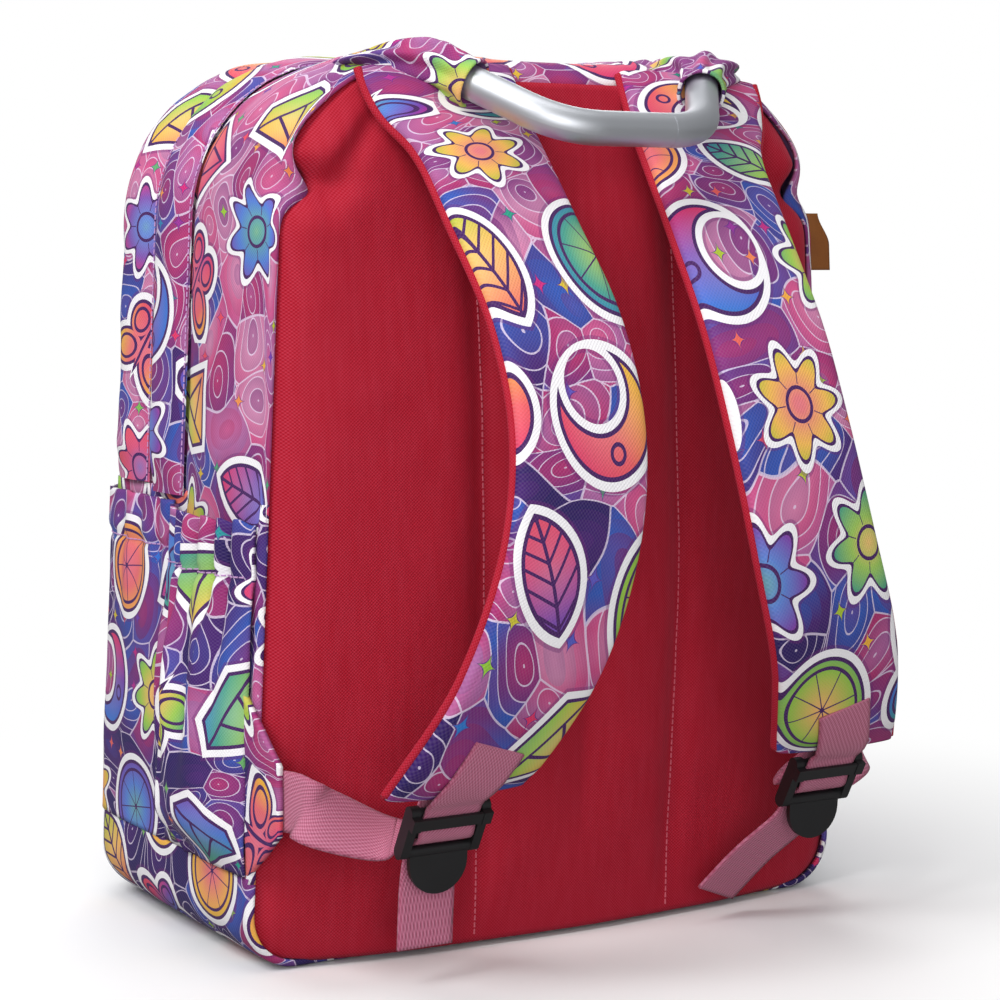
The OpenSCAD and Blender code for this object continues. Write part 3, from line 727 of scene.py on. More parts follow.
class BACKPACK_OT_back_panel(bpy.types.Operator):
    """Stuffed and quilted coral back panel with its lining"""
    bl_idname = "backpack.back_panel"
    bl_label = "Back Panel"

    def execute(self, context):
        s, outline = sizes(), Outline()
        top = s.height - 0.0115

        def face(a, b):
            z = mix(0.0025, top, b)
            return back_point(outline, (2 * a - 1) * outline.half(z, panel_inset(z)), z)

        panel = cloth("back_panel", 130, 150, face, ("coral",), flat=lambda a, b: (face(a, b).x, face(a, b).z))
        line_wall(panel, 0.008)
        sewn(panel, "bag", "coral_cloth", "back_cover", "back_foam")

        def inner(a, b):
            z = mix(0.006, s.height - 0.006, b)
            x = (2 * a - 1) * outline.half(z, 0.0045)
            rim = max(ease(0.78, 0.96, abs(2 * a - 1)), ease(0.90, 0.97, b))
            return Vector((x, back_point(outline, x * 0.97, min(z, top)).y + 0.0105 + 0.0050 * rim, z))

        lining = line_wall(cloth("back_lining", 60, 70, inner, ("lining",)), 0.001)
        sewn(lining, "bag", "lining", "back_lining", flat=(0.32, 0.41))
        for sign, name in SIDES:
            def quilt(t, sign=sign):
                z = mix(0.006, 0.404, t)
                return back_point(outline, sign * s.channel, z), Vector((0, -1, 0))
            row = stitches("quilt_stitches_" + name, quilt, "pale thread", thick=0.00045)
            sewn(row, "bag", "coral_cloth")
        return {"FINISHED"}


class BACKPACK_OT_walls(bpy.types.Operator):
    """Printed walls of the rear compartment, the lower walls and the base"""
    bl_idname = "backpack.walls"
    bl_label = "Walls and Base"

    def execute(self, context):
        s, outline = sizes(), Outline()
        arch = outline.round(0.203)

        def rear(a, b):
            p, out = arch.at(a)
            y, pull = wall_depth(b, -s.rear, 0.0290, p.x, p.z)
            q = Vector((p.x, y, p.z))
            puff = 0.0035 * hump(min(1.0, max(0.0, (y + s.rear) / 0.088))) * ease(0.0, 0.1, b)
            puff += (0.0016 * ripple(q, 0.06, 1.3) + 0.0007 * ripple(q, 0.022, 5.0)) * fall(0.010, 0.022, y)
            gather = 0.0011 * math.sin(a * arch.length / 0.0065 + 3 * ripple(q, 0.05)) * bell(y + 0.082, 0.013) \
                * ease(0.32, 0.36, p.z) * (1 - ease(0.40, 0.42, p.z) * 0.4)
            root = abs(abs(p.x) - 0.076)
            pinch = bell(root, 0.030) * (p.z > 0.39) * bell(y + 0.080, 0.024)
            gather += pinch * (0.0022 * math.sin(root * 620 + 2 * ripple(q, 0.04, 6.0)) + 0.0020)
            sag = -0.0022 * bell(p.x, 0.045) * (p.z > 0.40) * bell(y + 0.06, 0.05)
            return q + out * (pull + (puff + gather + sag) * ease(0.05, 0.16, b) - 0.0012 * bell(y, 0.003))

        wall = cloth("rear_walls", 260, 44, rear, ("print", "lining"), shift=(0.013, 0.0))
        line_wall(wall, 0.0022, True)
        sewn(wall, "bag", "printed_cloth", "rear_side_left", "rear_side_right", "rear_top", flat=(0.66, 0.125))

        cradle = outline.round(0.0445, upper=False)

        def base(a, b):
            p, out = cradle.at(a)
            y, pull = wall_depth(b, -s.rear, s.front, p.x, p.z, front=True)
            q = Vector((p.x, y, p.z))
            puff = (0.0012 * ripple(q, 0.06, 2.0) + 0.002 * hump(b)) \
                * ease(0.0, 0.02, p.z) * ease(0.0, 0.1, b)
            q += out * (pull + puff)
            q.z = max(q.z, 0.0003)
            return q

        under = cloth("base_panel", 150, 56, base, ("print", "lining"), shift=(0.231, 0.41))
        line_wall(under, 0.0025, True)
        sewn(under, "bag", "printed_cloth", "base_panel", flat=(0.36, 0.22))

        for sign, name in SIDES:
            def lower(a, b, sign=sign):
                z = mix(0.042, s.fold + 0.001, a)
                y, pull = wall_depth(b, -s.rear, s.front, outline.half(z), z, front=True)
                q = Vector((sign * outline.half(z), y, z))
                puff = 0.001 * ripple(q, 0.05, 4.0) * ease(0.0, 0.1, b)
                return q + Vector((sign, 0, 0)) * (pull + puff)

            side = cloth("lower_wall_" + name, 40, 56, lower, ("print", "lining"), shift=(0.05 * sign, 0.77))
            line_wall(side, 0.002, True)
            sewn(side, "bag", "printed_cloth", "lower_side_" + name, flat=(0.174, 0.215))

        def low_face(a, b):
            z = mix(0.027, s.fold - 0.0005, b)
            x = (2 * a - 1) * outline.half(z, 0.0255)
            return Vector((x, s.front + 0.001 * ripple((x, 0, z), 0.06), z))

        face = cloth("front_lower_panel", 60, 40, low_face, ("print", "lining"), shift=(0.4, 0.1))
        line_wall(face, 0.0022, True)
        sewn(face, "bag", "printed_cloth", "front_lower_panel", flat=(0.28, 0.19))
        return {"FINISHED"}


class BACKPACK_OT_rain_flaps(bpy.types.Operator):
    """Folded rain flaps over the two zips, with their topstitching"""
    bl_idname = "backpack.rain_flaps"
    bl_label = "Rain Flaps"

    def execute(self, context):
        outline = Outline()
        profile = [Vector(p) for p in (
            (-0.0035, 0.0003), (-0.0012, 0.0), (0.0004, -0.0002), (0.0022, 0.0008), (0.0065, 0.0026),
            (0.0130, 0.0044), (0.0205, 0.0054), (0.0270, 0.0052), (0.0312, 0.0039), (0.0328, 0.0018),
            (0.0318, 0.0006), (0.0270, 0.0002), (0.0200, 0.0003))]
        for name, start, foot, body, seed in (("main_rain_flap", 0.0, 0.2135, "bag", 0.0),
                                              ("front_rain_flap", 0.0425, 0.2170, "main_front", 9.0)):
            arch = outline.round(foot)

            def flap(a, b):
                p, out = arch.at(a)
                y, lift = spline(profile, b * (len(profile) - 1))
                tuck = ease(0.56, 0.66, a)
                y *= mix(1.0, 0.78, tuck)
                lift *= mix(1.0, 0.8, tuck)
                end = min(a, 1 - a) * arch.length
                lift *= mix(0.45, 1.0, ease(0.0, 0.02 if a < 0.5 else 0.008, end))
                q = Vector((p.x, start + y, p.z))
                wave = 0.0009 * ripple(q, 0.035, seed) + 0.0005 * ripple(q, 0.014, seed + 4)
                return q + out * (lift + 0.0012 + wave * ease(0.0, 0.012, y) * (b < 0.8))

            piece = cloth(name, 260, 40, flap, ("print",), shift=(0.31 + 0.02 * seed, 0.29 + 0.01 * seed))
            sewn(piece, body, "printed_cloth", name, flat=(0.64, 0.055))

            def row(t):
                p, out = arch.at(t)
                return Vector((p.x, start - 0.0002, p.z)) + out * 0.0013, out
            sewn(stitches(name + "_stitches", row, "plum thread"), body, "printed_cloth")
        return {"FINISHED"}


TAPE_DEPTH, TAPE_THICK = 0.0013, 0.0007
TOOTH, TOOTH_PITCH = (0.0020, 0.0014, 0.0018), 0.0026


class BACKPACK_OT_zips(bpy.types.Operator):
    """Zip tapes with their teeth, sliders and pulls"""
    bl_idname = "backpack.zips"
    bl_label = "Zips"

    def execute(self, context):
        outline = Outline()
        arch = outline.round(0.2165)
        count = int(arch.length / TOOTH_PITCH)
        rows = (("main_zip_rear_chain", "bag", 0.0225, 0.0297),
                ("main_zip_front_chain", "main_front", 0.0373, 0.0303),
                ("front_zip_rear_chain", "main_front", 0.0645, 0.0717),
                ("front_zip_front_chain", "outer_front", 0.0793, 0.0723))
        for name, body, sewn_edge, free_edge in rows:
            def tape(a, b):
                p, out = arch.at(a)
                return Vector((p.x, mix(sewn_edge, free_edge, b), p.z)) - out * TAPE_DEPTH

            strip = line_wall(cloth(name, 200, 6, tape, ("tape",)), TAPE_THICK)
            sewn(strip, body, "zip_tape", name)
            bm = bmesh.new()
            lean, step = (0.0009, 0.25) if free_edge > sewn_edge else (-0.0009, 0.75)
            long, wide, high = TOOTH
            for k in range(count):
                p, out = arch.at((k + step) / count)
                turn = out.to_track_quat("Z", "Y").to_matrix().to_4x4()
                spot = Vector((p.x, free_edge - lean, p.z)) - out * TAPE_DEPTH
                size = Matrix.Diagonal((wide, long, high, 1.0))
                if abs((turn @ Vector((0, 1, 0))).y) < 0.5:
                    size = Matrix.Diagonal((long, wide, high, 1.0))
                bmesh.ops.create_cube(bm, size=1.0, matrix=Matrix.Translation(spot) @ turn @ size)
            sewn(show(name + "_teeth", bm, "teeth"), body, "zip_tape")
        for sign, name in SIDES:
            def stay(a, b, sign=sign):
                z = mix(0.1920, 0.2185, b)
                return Vector((sign * (outline.half(z) - 0.0056), mix(0.0640, 0.0805, a), z))

            patch = line_wall(cloth("zip_end_stay_" + name, 8, 10, stay, ("tape",)), TAPE_THICK)
            sewn(patch, "main_front", "zip_tape", flat=(0.0165, 0.0265))
        for node in ("main_zip_slider", "main_zip_pull", "front_zip_slider", "front_zip_pull"):
            dress(node, "nickel")
        return {"FINISHED"}


def dress(node, finish):
    """Gives a CAD node that keeps its shape a better finish."""
    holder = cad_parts[node]
    holder.data.materials.clear()
    holder.data.materials.append(material(finish))


class BACKPACK_OT_fronts(bpy.types.Operator):
    """Walls and panels of the two fronts that fold open, with the divider between them"""
    bl_idname = "backpack.fronts"
    bl_label = "Fronts"

    def execute(self, context):
        s, outline = sizes(), Outline()
        low = outline.round(0.165)

        def middle(a, b):
            p, out = low.at(a)
            y = mix(0.0335, 0.0690, b)
            q = Vector((p.x, y, p.z))
            puff = 0.0012 * ripple(q, 0.05, 8.0) * (1 - ease(0.27, 0.37, abs(b - 0.5)))
            return q + out * (puff * ease(0.215, 0.24, p.z) - 0.0006 - 0.0022 * fall(0.205, 0.225, p.z))

        walls = cloth("middle_walls", 260, 16, middle, ("print", "lining"), shift=(0.7, 0.55))
        line_wall(walls, 0.002, True)
        bending(walls, "bag", "main_front", (0, 0.05, 0.170), (0, 0.05, 0.226), "printed_cloth",
                "mid_side_left", "mid_side_right", "mid_top", flat=(0.74, 0.036))

        def sheet(a, b):
            z = mix(0.006, s.height - 0.005, b)
            x = (2 * a - 1) * outline.half(z, 0.0045)
            return Vector((x, 0.0355 + 0.002 * ripple((x, 0, z), 0.08), z))

        divider = line_wall(cloth("divider", 60, 80, sheet, ("lining",)), 0.0012)
        bending(divider, "bag", "main_front", (0, 0.04, 0.150), (0, 0.04, 0.226), "lining",
                "divider_lower", "divider_upper", flat=(0.32, 0.412))

        high = outline.round(0.197)

        def rim(a, b):
            p, out = high.at(a)
            if b < 0.12:
                y, pull = mix(0.0760, s.front - s.front_round, b / 0.12), 0.0
            elif b < 0.82:
                angle = (b - 0.12) / 0.70 * math.pi / 2
                y, pull = s.front - s.front_round * (1 - math.sin(angle)), -s.front_round * (1 - math.cos(angle))
            else:
                y, pull = s.front + 0.001, -s.front_round - (b - 0.82) / 0.18 * 0.007
            q = Vector((p.x, y, p.z))
            puff = 0.0015 * ripple(q, 0.055, 6.0) * ease(0.0, 0.2, b)
            foot = 0.003 * fall(0.205, 0.225, p.z)
            return q + out * (pull + puff - foot) - Vector((0, 0.002 * bell(b - 1, 0.05), 0))

        edge = cloth("front_walls", 240, 36, rim, ("print", "lining"), shift=(0.15, 0.95))
        line_wall(edge, 0.002, True)
        bending(edge, "main_front", "outer_front", (0, 0.09, 0.198), (0, 0.09, 0.226), "printed_cloth",
                "front_side_left", "front_side_right", "front_top", flat=(0.66, 0.055))

        def face(a, b):
            z = mix(s.fold + 0.001, s.height - 0.0345, b)
            side = 2 * a - 1
            x = side * outline.half(z, 0.0345)
            crown = 0.006 * (1 - abs(side) ** 3) * ease(0.0, 0.25, b) * fall(0.75, 1.0, b)
            return Vector((x, s.front - 0.001 + crown + 0.0014 * ripple((x, 0, z), 0.06), z))

        panel = cloth("front_upper_panel", 90, 64, face, ("print", "lining"), shift=(0.05, 1.4))
        line_wall(panel, 0.0022, True)
        sewn(panel, "outer_front", "printed_cloth", "front_upper_panel", flat=(0.27, 0.172))
        return {"FINISHED"}


class BACKPACK_OT_pockets(bpy.types.Operator):
    """Gathered side pockets, wrap-round lower corners and the slip pocket on the front"""
    bl_idname = "backpack.pockets"
    bl_label = "Pockets"

    def execute(self, context):
        s, outline = sizes(), Outline()
        for sign, name in SIDES:
            def pocket(a, b, sign=sign):
                z = mix(0.0455, 0.2085, b)
                y = mix(-0.0875, 0.0035, a)
                belly = hump(a) ** 0.62
                depth = 0.0185 * ease(-0.03, 0.16, b) * (1 - 0.40 * ease(0.50, 0.90, b))
                pucker = (0.35 * ease(0.30, 0.70, b) + 0.65 * ease(0.70, 0.86, b)) * (1 - 0.2 * ease(0.93, 1.0, b))
                phase = a * 13 * math.pi + 3.4 * noise.noise(Vector((a * 5, b * 1.5, 2.0 + sign)))
                crease = abs(math.sin(phase / 2))
                fold = 0.0040 * (1 + 0.6 * noise.noise(Vector((a * 9, 0, 4.0)))) * pucker \
                    * (2.0 * crease ** 0.8 - 1.1) * hump(a) ** 0.4
                hang = 0.0036 * math.sin(a * 7.5 * math.pi + 1.2 + noise.noise(Vector((a * 3, b * 2, 5)))) \
                    * ease(0.15, 0.5, b) * fall(0.62, 0.8, b) * hump(a)
                casing = -0.0020 * bell(b - 0.845, 0.020) * hump(a) ** 0.5
                pleat = -0.006 * bell(a - 0.71, 0.022) * fall(0.66, 0.86, b) * ease(0.0, 0.1, b)
                pleat += 0.0022 * bell(a - 0.655, 0.035) * fall(0.66, 0.86, b)
                q = Vector((sign * outline.half(z), y, z + 0.0032 * (crease - 0.6) * ease(0.86, 1.0, b)))
                out = 0.0022 + belly * depth + fold + hang + casing + pleat + 0.0008 * ripple(q, 0.03, 2.0)
                return q + Vector((sign * max(0.0015, out), 0, 0))

            bag = cloth("side_pocket_" + name, 130, 84, pocket, ("print", "lining"),
                        shift=(0.35 + 0.21 * sign, 0.61))
            line_wall(bag, 0.0022, True)
            sewn(bag, "bag", "printed_cloth", "side_pocket_" + name, "pocket_elastic_" + name, flat=(0.125, 0.165),
                 held="gathered")

            def row(t, sign=sign):
                return pocket(mix(0.03, 0.97, t), 0.845) + Vector((sign * 0.0002, 0, 0)), Vector((sign, 0, 0))
            sewn(stitches("pocket_stitches_" + name, row, "plum thread", pitch=0.003), "bag", "printed_cloth")

            def wrap(a, b, sign=sign):
                z = mix(0.0445, 0.2112, b)
                y, pull = wall_depth(a, 0.0050, s.front, outline.half(z), z, front=True)
                q = Vector((sign * outline.half(z), y, z))
                hem = 0.0014 * ease(0.86, 0.90, b) - 0.0012 * bell(b - 0.86, 0.012)
                puff = 0.0030 * hump(min(1, max(0, b))) \
                    * hump(min(1.0, a / 0.72)) * (a < 0.72)
                fold = 0.0016 * math.sin(a * 30 + 1.5 * noise.noise(Vector((a * 4, 0, b * 2)))) \
                    * ease(0.5, 0.95, b) * fall(0.6, 0.75, a)
                tuck = -0.002 * bell(a, 0.03)
                out = 0.0030 + tuck + hem + puff + fold + 0.0010 * ripple(q, 0.035, 3.0)
                out = pull + mix(out, 0.0016, ease(0.66, 0.78, b) * (sign > 0))
                return q + Vector((sign * out, 0, 0)) + Vector((0, 0.0022 * ease(0.72, 1.0, a), 0))

            corner = cloth("front_wrap_" + name, 90, 70, wrap, ("print", "lining"), shift=(0.82 + 0.17 * sign, 0.2))
            line_wall(corner, 0.002, True)
            sewn(corner, "bag", "printed_cloth", "front_wrap_" + name, flat=(0.127, 0.167))

            def hem_row(t, sign=sign):
                p = wrap(mix(0.02, 0.98, t), 0.86) + Vector((sign * 0.0002, 0, 0))
                return p, Vector((sign, 0.3, 0)).normalized()
            sewn(stitches("wrap_stitches_" + name, hem_row, "plum thread", pitch=0.003), "bag", "printed_cloth")

        def slip(a, b):
            z = mix(0.036, 0.2112, b)
            side = 2 * a - 1
            x = side * (outline.half(z) - 0.016)
            belly = (1 - abs(side) ** 4) ** 0.8
            out = 0.0115 * belly * ease(-0.05, 0.22, b) * (1 - 0.25 * ease(0.6, 1.0, b))
            hem = 0.0012 * ease(0.88, 0.91, b) - 0.001 * bell(b - 0.88, 0.012)
            edge = 0.0055 * ease(0.86, 1.0, abs(side))
            return Vector((x, s.front + 0.0015 + out + hem - edge + 0.001 * ripple((x, 1, z), 0.05), z))

        pouch = cloth("front_pocket", 110, 70, slip, ("print", "lining"), shift=(0.5, 1.9))
        line_wall(pouch, 0.002, True)
        sewn(pouch, "bag", "printed_cloth", "front_pocket", flat=(0.31, 0.176))

        def slip_row(t):
            return slip(mix(0.03, 0.97, t), 0.88) + Vector((0, 0.0002, 0)), Vector((0, 1, 0))
        sewn(stitches("front_pocket_stitches", slip_row, "plum thread", pitch=0.003), "bag", "printed_cloth")
        return {"FINISHED"}


# Straps

STRAP = [(0.0640, -0.0935, 0.4155), (0.0630, -0.1060, 0.3930), (0.0615, -0.119, 0.376), (0.059, -0.142, 0.346),
         (0.0555, -0.177, 0.298), (0.057, -0.198, 0.248), (0.067, -0.205, 0.195), (0.085, -0.198, 0.143),
         (0.105, -0.172, 0.095)]
STRAP_BEND = (0, -0.095, 0.416), (0, -0.104, 0.394)  # where a strap leaves the bag, and where it moves freely
PIPING = 0.0021  # radius of the piped edge


class StrapLine:
    """Centre line of the right-hand strap with its directions: along, across and away from the bag.

    The lower end is cut level.
    """

    def __init__(self):
        self.points = [Vector(p) for p in STRAP]
        self.last = len(self.points) - 1

    def at(self, t):
        s = t * self.last
        p = spline(self.points, s)
        run = (spline(self.points, min(self.last, s + 0.02)) - spline(self.points, max(0, s - 0.02))).normalized()
        across = (Vector((1, 0, 0)) - run * run.x).normalized()
        across -= run * (across.z / run.z) * ease(0.8, 1.0, (s - 1) / (self.last - 1))
        return p, run, across, run.cross(across)


class BACKPACK_OT_straps(bpy.types.Operator):
    """Padded shoulder straps with printed faces, coral backs and piped edges"""
    bl_idname = "backpack.straps"
    bl_label = "Shoulder Straps"

    def execute(self, context):
        s = sizes()
        line = StrapLine()
        half = s.strap_width / 2

        def yoke(b):
            return 0.014 * fall(0.03, 0.30, b)

        for sign, name in SIDES:
            flip = Vector((sign, 1, 1))

            def pad(a, b, sign=sign, flip=flip):
                p, _, across, away = line.at(b)
                angle = a * 2 * math.pi
                c, k = math.cos(angle), math.sin(angle)
                thick = s.strap_thick / 2 * mix(0.55, 1.0, ease(0.0, 0.07, b)) \
                    * mix(0.5, 1.0, ease(0.0, 0.045, 1 - b))
                x = half * math.copysign(abs(c) ** 0.20, c)
                x += max(0.0, x / half) * yoke(b)
                n = thick * math.copysign(abs(k) ** 0.55, k)
                n += 0.0016 * (1 - (x / half) ** 2) * (k > 0)
                q = p + across * x + away * n
                soft = 0.0007 * ripple(q, 0.03, 2.0 * sign) * abs(k)
                return (q + away * soft) * flip

            total = sum((line.at((k + 1) / 60)[0] - line.at(k / 60)[0]).length for k in range(60))

            def flat(a, b):
                angle = a * 2 * math.pi
                return (half * math.copysign(abs(math.cos(angle)) ** 0.20, math.cos(angle)), -b * total)

            def paint(a, b):
                return 0 if 0.012 < a < 0.488 else 1

            strap = cloth("shoulder_strap_" + name, 96, 170, pad, ("print", "coral"), flat=flat, tube="closed",
                          shift=(0.63 + 0.11 * sign, 0.34 + 0.09 * sign), paint=paint)
            bending(strap, "bag", "strap_" + name, *STRAP_BEND, "printed_cloth",
                    "strap_cover_" + name, "strap_foam_" + name, "strap_lining_" + name, "strap_binding_" + name)
            for edge, word in ((-1, "inner"), (1, "outer")):
                def bead(a, b, edge=edge, flip=flip):
                    p, _, across, away = line.at(mix(0.004, 0.996, b))
                    angle = a * 2 * math.pi
                    x = edge * (half - 0.0002 + (yoke(b) if edge > 0 else 0.0)) + PIPING * math.cos(angle)
                    return (p + across * x + away * (PIPING * math.sin(angle) - 0.0004)) * flip

                piping = cloth("strap_piping_%s_%s" % (word, name), 12, 170, bead, ("coral",), tube="closed")
                bending(piping, "bag", "strap_" + name, *STRAP_BEND, "coral_cloth")
        return {"FINISHED"}


def ribbon(name, path, wide, width, finish="webbing", thick=0.0015, flip=Vector((1, 1, 1)), steps=60, reach=None):
    """Webbing laid along a smooth path of points, or a reach of it, with the way across given at each point."""
    last = len(path) - 1
    low, high = reach or (0, last)

    def lay(a, b):
        t = mix(low, high, b)
        run = (spline(path, min(last, t + 0.03)) - spline(path, max(0, t - 0.03))).normalized()
        w = spline(wide, t)
        w = (w - run * w.dot(run)).normalized()
        return (spline(path, t) + w * (a - 0.5) * width) * flip

    marks = [spline(path, mix(low, high, k / 80)) for k in range(81)]
    total = sum((q - p).length for p, q in zip(marks, marks[1:]))
    piece = cloth(name, 10, steps, lay, (finish,), flat=lambda a, b: ((a - 0.5) * width, b * total))
    line_wall(piece, thick, offset=0.0)
    return piece, total


class BACKPACK_OT_webbing(bpy.types.Operator):
    """Webbing loops, adjusting webbing with its tails, and the sewn anchors in the side seams"""
    bl_idname = "backpack.webbing"
    bl_label = "Webbing"

    def execute(self, context):
        s, outline = sizes(), Outline()
        end, run, _, away = StrapLine().at(1.0)
        hang, level = Vector((0, run.y, run.z)).normalized(), Vector((1, 0, 0))
        bar = end + hang * 0.011
        side, up = Vector((0, -hang.z, hang.y)), -hang
        pitch, low, r, web = 0.012, 0.022, 0.0022, 0.0016
        slot_z = -pitch + r + 0.0024
        turn_y = r + web / 2 + 0.0004
        tail_y = r - 0.0005 + web / 2 + 0.0004
        load_y = tail_y + web + 0.0004
        through = [(load_y, -low + 0.002), (load_y, slot_z - 0.0015), (load_y - 0.0018, slot_z + 0.0006),
                   (0, slot_z + 0.0008), (-turn_y + 0.0006, slot_z - 0.0006), (-turn_y - 0.0002, -pitch + 0.0012),
                   (-turn_y - 0.0002, -pitch - 0.0012), (-turn_y + 0.0012, -pitch - 0.0038), (0, -pitch - 0.005),
                   (tail_y - 0.0012, -pitch - 0.0062), (tail_y, -pitch - 0.008)]
        start = bar + side * tail_y - up * (low + 0.003)
        way = Vector((-0.44, 0.49, -0.75)).normalized()
        hung = [(tail_y, -low - 0.004), (tail_y - 0.0012, -low - 0.012), (tail_y - 0.005, -low - 0.024),
                (tail_y - 0.0158, -low - 0.048)]
        tails = {"left": [bar + side * y + up * z for y, z in hung],
                 "right": [start, start + (way - up).normalized() * 0.0152, start + way * 0.0414,
                           start + way * 0.069]}
        for sign, name in SIDES:
            flip = Vector((sign, 1, 1))
            path = [bar + side * y + up * z for y, z in through] + tails[name]
            strip, total = ribbon("adjusting_webbing_" + name, path, [level] * len(path), s.webbing, flip=flip,
                                  steps=120)
            sewn(strip, "buckle_" + name, "pink_webbing", "webbing_" + name, flat=(s.webbing, round(total, 3)))

            hold = [(-0.031, 0.0089), (-0.022, 0.0092), (-0.010, 0.0086), (0.0, 0.0064), (0.0065, 0.0036),
                    (0.0112, 0.0031), (0.0140, 0.0014), (0.0140, -0.0014), (0.0112, -0.0034), (0.006, -0.0030),
                    (-0.002, -0.0020)]
            path = [end + run * t + away * n if t < 0 else end + hang * t - side * n for t, n in hold]
            loop, total = ribbon("webbing_loop_" + name, path, [level] * len(path), s.webbing, flip=flip, steps=70)
            sewn(loop, "strap_" + name, "pink_webbing", "buckle_loop_" + name, flat=(s.webbing, round(total, 3)))

            gx = outline.half(0.080) - 0.0035
            tip = -0.114
            goal = bar + side * (load_y + web + 0.0038) - up * (low - 0.002)
            path = [Vector((gx - 0.001, tip + 0.008, 0.084)), Vector((gx - 0.004, tip - 0.008, 0.085)),
                    Vector((gx - 0.0108, tip - 0.017, 0.080)), goal + level * 0.017 + side * 0.011 - up * 0.011,
                    goal + level * 0.006 + side * 0.0045 - up * 0.0075, goal, goal + up * 0.004 - side * 0.0005]
            wide = [Vector(w) for w in ((0, 0, 1), (0, 0.1, 1), (-0.25, 0.25, 0.93), (-0.55, 0.66, 0.51),
                                        (-0.85, 0.46, 0.26), (-0.98, 0.08, 0.10), (-1, 0, 0))]
            join, last = 3.4, len(path) - 1
            middle = spline(path, join)
            way_in = (spline(path, join + 0.1) - spline(path, join - 0.1)).normalized()
            root = Vector((gx, -0.112, 0.085))
            near = root + way_in * ((middle - root).dot(way_in) - 0.003)
            far = middle + way_in * (goal - middle).dot(way_in)
            anchor, total = ribbon("anchor_webbing_" + name, path, wide, s.webbing, flip=flip, steps=50,
                                   reach=(0, join))
            bending(anchor, "bag", "strap_" + name, root * flip, near * flip, "pink_webbing",
                    "anchor_webbing_" + name, flat=(s.webbing, round(total, 3)))
            rest, total = ribbon("anchor_end_" + name, path, wide, s.webbing, flip=flip, steps=30,
                                 reach=(join, last))
            bending(rest, "strap_" + name, "buckle_" + name, middle * flip, far * flip, "pink_webbing",
                    flat=(s.webbing, round(total, 3)))

            def gusset(a, b, sign=sign, gx=gx, tip=tip):
                y = mix(-0.0860, tip - 0.001, a)
                z = mix(mix(0.044, 0.069, a), mix(0.130, 0.1010, a), b)
                return Vector((sign * (mix(gx + 0.004, gx + 0.0005, a) + 0.0006 * ripple((y, z, 0), 0.012)), y, z))

            patch = cloth("strap_gusset_" + name, 16, 24, gusset, ("print", "print"), shift=(0.2 + 0.3 * sign, 0.5))
            line_wall(patch, 0.0028, offset=0.0)
            sewn(patch, "bag", "printed_cloth", "strap_gusset_" + name, flat=(0.029, 0.087))
        return {"FINISHED"}


class BACKPACK_OT_buckles(bpy.types.Operator):
    """Ladder-lock buckles"""
    bl_idname = "backpack.buckles"
    bl_label = "Buckles"

    def execute(self, context):
        for _, name in SIDES:
            dress("ladder_lock_" + name, "plastic")
        return {"FINISHED"}


class BACKPACK_OT_handle(bpy.types.Operator):
    """Bent tube handle with gathered cloth sleeves, and the small tab in the right seam"""
    bl_idname = "backpack.handle"
    bl_label = "Handle"

    def execute(self, context):
        outline = Outline()
        dress("handle_tube", "tube")
        dress("handle_plugs", "plastic")
        slope = math.radians(29)
        root = Vector((0.072, -0.1043, 0.414))
        leg = Vector((-0.034, -0.057 * math.cos(slope), -0.057 * math.sin(slope))).normalized()
        path = [Vector((0.081, -0.072, 0.4170)), Vector((0.080, -0.089, 0.4190)), root - leg * 0.005,
                root + leg * 0.006, root + leg * 0.0175]
        last = len(path) - 1
        for sign, name in SIDES:
            flip = Vector((sign, 1, 1))
            def sleeve(a, b, sign=sign, flip=flip):
                t = b * last
                p = spline(path, t)
                way = (spline(path, min(last, t + 0.05)) - spline(path, max(0, t - 0.05))).normalized()
                wide = way.cross(Vector((0, 0, 1))).normalized()
                high = wide.cross(way).normalized()
                angle = a * 2 * math.pi
                spread = mix(2.6, 1.0, ease(0.0, 0.62, b))
                flatten = mix(0.50, 1.0, ease(0.0, 0.5, b))
                fold = 1 + 0.11 * math.sin(angle * 7 + b * 3 + sign) * fall(0.78, 0.93, b) \
                    + 0.06 * ripple((a * 0.1, b * 0.1, 0), 0.02)
                lip = 1 + 0.07 * bell(b - 0.955, 0.035)
                r = 0.0112 * fold * lip
                return (p + wide * math.cos(angle) * r * spread + high * math.sin(angle) * r * flatten) * flip

            tube = cloth("handle_sleeve_" + name, 72, 40, sleeve, ("print", "lining"), tube="open",
                         shift=(0.45 + 0.3 * sign, 0.8))
            line_wall(tube, 0.0014, True)
            bending(tube, "bag", "handle", (sign * 0.079, -0.088, 0.4185), (sign * 0.072, -0.1065, 0.4130),
                    "printed_cloth", "handle_sleeve_" + name, flat=(0.096, 0.058), held="gathered")

        def tab(a, b):
            z = mix(0.322, 0.351, b)
            wide = mix(0.013, 0.006, ease(0.45, 1.0, b))
            return Vector((outline.half(z) - 0.001 + a * (wide + 0.001), -0.0850 - 0.001 * math.sin(a * 2), z))

        bit = cloth("seam_tab", 12, 20, tab, ("leather",), flat=lambda a, b: (a * 0.013, b * 0.029))
        line_wall(bit, 0.0018, offset=0.0)
        sewn(bit, "bag", "tan_tab", "seam_tab", flat=(0.0125, 0.029))
        return {"FINISHED"}


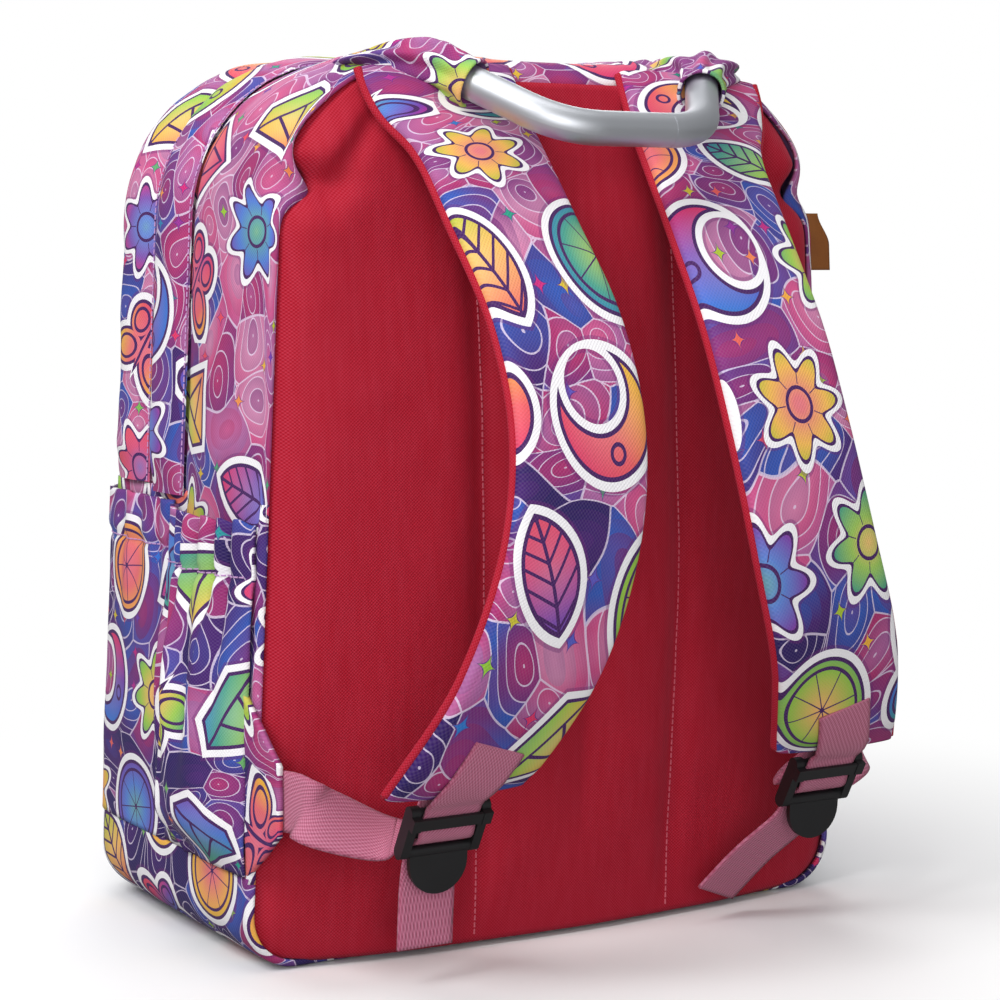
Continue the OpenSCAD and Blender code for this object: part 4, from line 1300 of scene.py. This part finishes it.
class BACKPACK_OT_stage(bpy.types.Operator):
    """Camera, floor, sky and lamps"""
    bl_idname = "backpack.stage"
    bl_label = "Stage"

    def execute(self, context):
        scene = context.scene
        scene.view_settings.view_transform = "Standard"
        lens = bpy.data.cameras.new("camera")
        lens.sensor_width, lens.lens = 36.0, 88.2
        lens.clip_end = 20
        camera = bpy.data.objects.new("camera", lens)
        camera.location = (-0.62576, -1.09563, 0.32564)
        camera.rotation_euler = (math.radians(84.4745), 0, math.radians(-30.5))
        scene.collection.objects.link(camera)
        scene.camera = camera

        bm = bmesh.new()
        bmesh.ops.create_grid(bm, x_segments=2, y_segments=2, size=6.0)
        f = Finish("pale floor")
        x, y, _ = f.split(f.spot())
        glow = f.node("ShaderNodeEmission", None, {"Color": (1, 1, 1, 1), "Strength": 1.0})
        pale = f.node("ShaderNodeBsdfDiffuse", None, {"Color": linear((0.985, 0.985, 0.985))})
        grey = f.node("ShaderNodeBsdfDiffuse", None, {"Color": linear((0.60, 0.60, 0.60))})
        camera_ray = f.node("ShaderNodeLightPath")
        faded = (x * x + y * y).root().rise(0.16, 0.55)
        shown = f.node("ShaderNodeMixShader", None, {0: faded, 1: pale, 2: glow})
        both = f.node("ShaderNodeMixShader", None, {0: camera_ray, 1: grey, 2: shown})
        f.node("ShaderNodeOutputMaterial", None, {"Surface": both})
        SHELF["floor"] = f.material
        floor = show("floor", bm, "floor")
        floor.data.transform(Matrix.Translation((0, 0, -0.0005)))

        f = Finish("studio", "worlds")
        scene.world = f.material
        camera_ray = f.node("ShaderNodeLightPath")
        clear_ray = Sum(f, camera_ray.socket.node.outputs["Is Transmission Ray"])
        white = f.node("ShaderNodeBackground", None, {"Color": (1, 1, 1, 1)})
        dim = f.node("ShaderNodeBackground", None, {"Color": (0.97, 0.98, 1.0, 1), "Strength": 0.32})
        both = f.node("ShaderNodeMixShader", None, {0: camera_ray.most(clear_ray), 1: dim, 2: white})
        f.node("ShaderNodeOutputWorld", None, {"Surface": both})

        for name, spot, aim, size, power in (("key", (-1.6, -0.5, 1.8), (-0.05, -0.05, 0.28), 1.0, 30.0),
                                             ("fill", (-0.9, -1.8, 0.5), (0, -0.1, 0.22), 1.2, 19.0),
                                             ("top", (-0.1, 0.0, 2.2), (0, 0, 0.3), 1.4, 13.0),
                                             ("back", (1.0, 1.9, 1.2), (0, 0.1, 0.2), 1.2, 18.0)):
            lamp = bpy.data.lights.new(name, "AREA")
            lamp.size, lamp.energy = size, power
            holder = bpy.data.objects.new(name, lamp)
            holder.location = spot
            holder.rotation_euler = (Vector(aim) - Vector(spot)).to_track_quat("-Z", "Y").to_euler()
            scene.collection.objects.link(holder)
        return {"FINISHED"}


OPERATORS = (BACKPACK_OT_stage, BACKPACK_OT_back_panel, BACKPACK_OT_walls, BACKPACK_OT_rain_flaps, BACKPACK_OT_zips,
             BACKPACK_OT_fronts, BACKPACK_OT_pockets, BACKPACK_OT_straps, BACKPACK_OT_webbing, BACKPACK_OT_buckles,
             BACKPACK_OT_handle)


class BACKPACK_PT_panel(bpy.types.Panel):
    """Sizes, colours and pieces of the backpack"""
    bl_label = "School Backpack"
    bl_idname = "BACKPACK_PT_panel"
    bl_space_type = "VIEW_3D"
    bl_region_type = "UI"
    bl_category = "Backpack"

    def draw(self, context):
        for group in (context.scene.backpack_sizes, context.scene.backpack_colours):
            box = self.layout.box()
            for key in group.__annotations__:
                box.prop(group, key)
        for operator in OPERATORS:
            self.layout.operator(operator.bl_idname)


CLASSES = (BackpackSizes, BackpackColours) + OPERATORS + (BACKPACK_PT_panel,)


def register():
    for kind in CLASSES:
        bpy.utils.register_class(kind)
    bpy.types.Scene.backpack_sizes = PointerProperty(type=BackpackSizes)
    bpy.types.Scene.backpack_colours = PointerProperty(type=BackpackColours)


def unregister():
    del bpy.types.Scene.backpack_colours
    del bpy.types.Scene.backpack_sizes
    for kind in reversed(CLASSES):
        bpy.utils.unregister_class(kind)


def main():
    register()
    for operator in OPERATORS:
        group, name = operator.bl_idname.split(".")
        getattr(getattr(bpy.ops, group), name)()


if __name__ == "__main__":
    main()
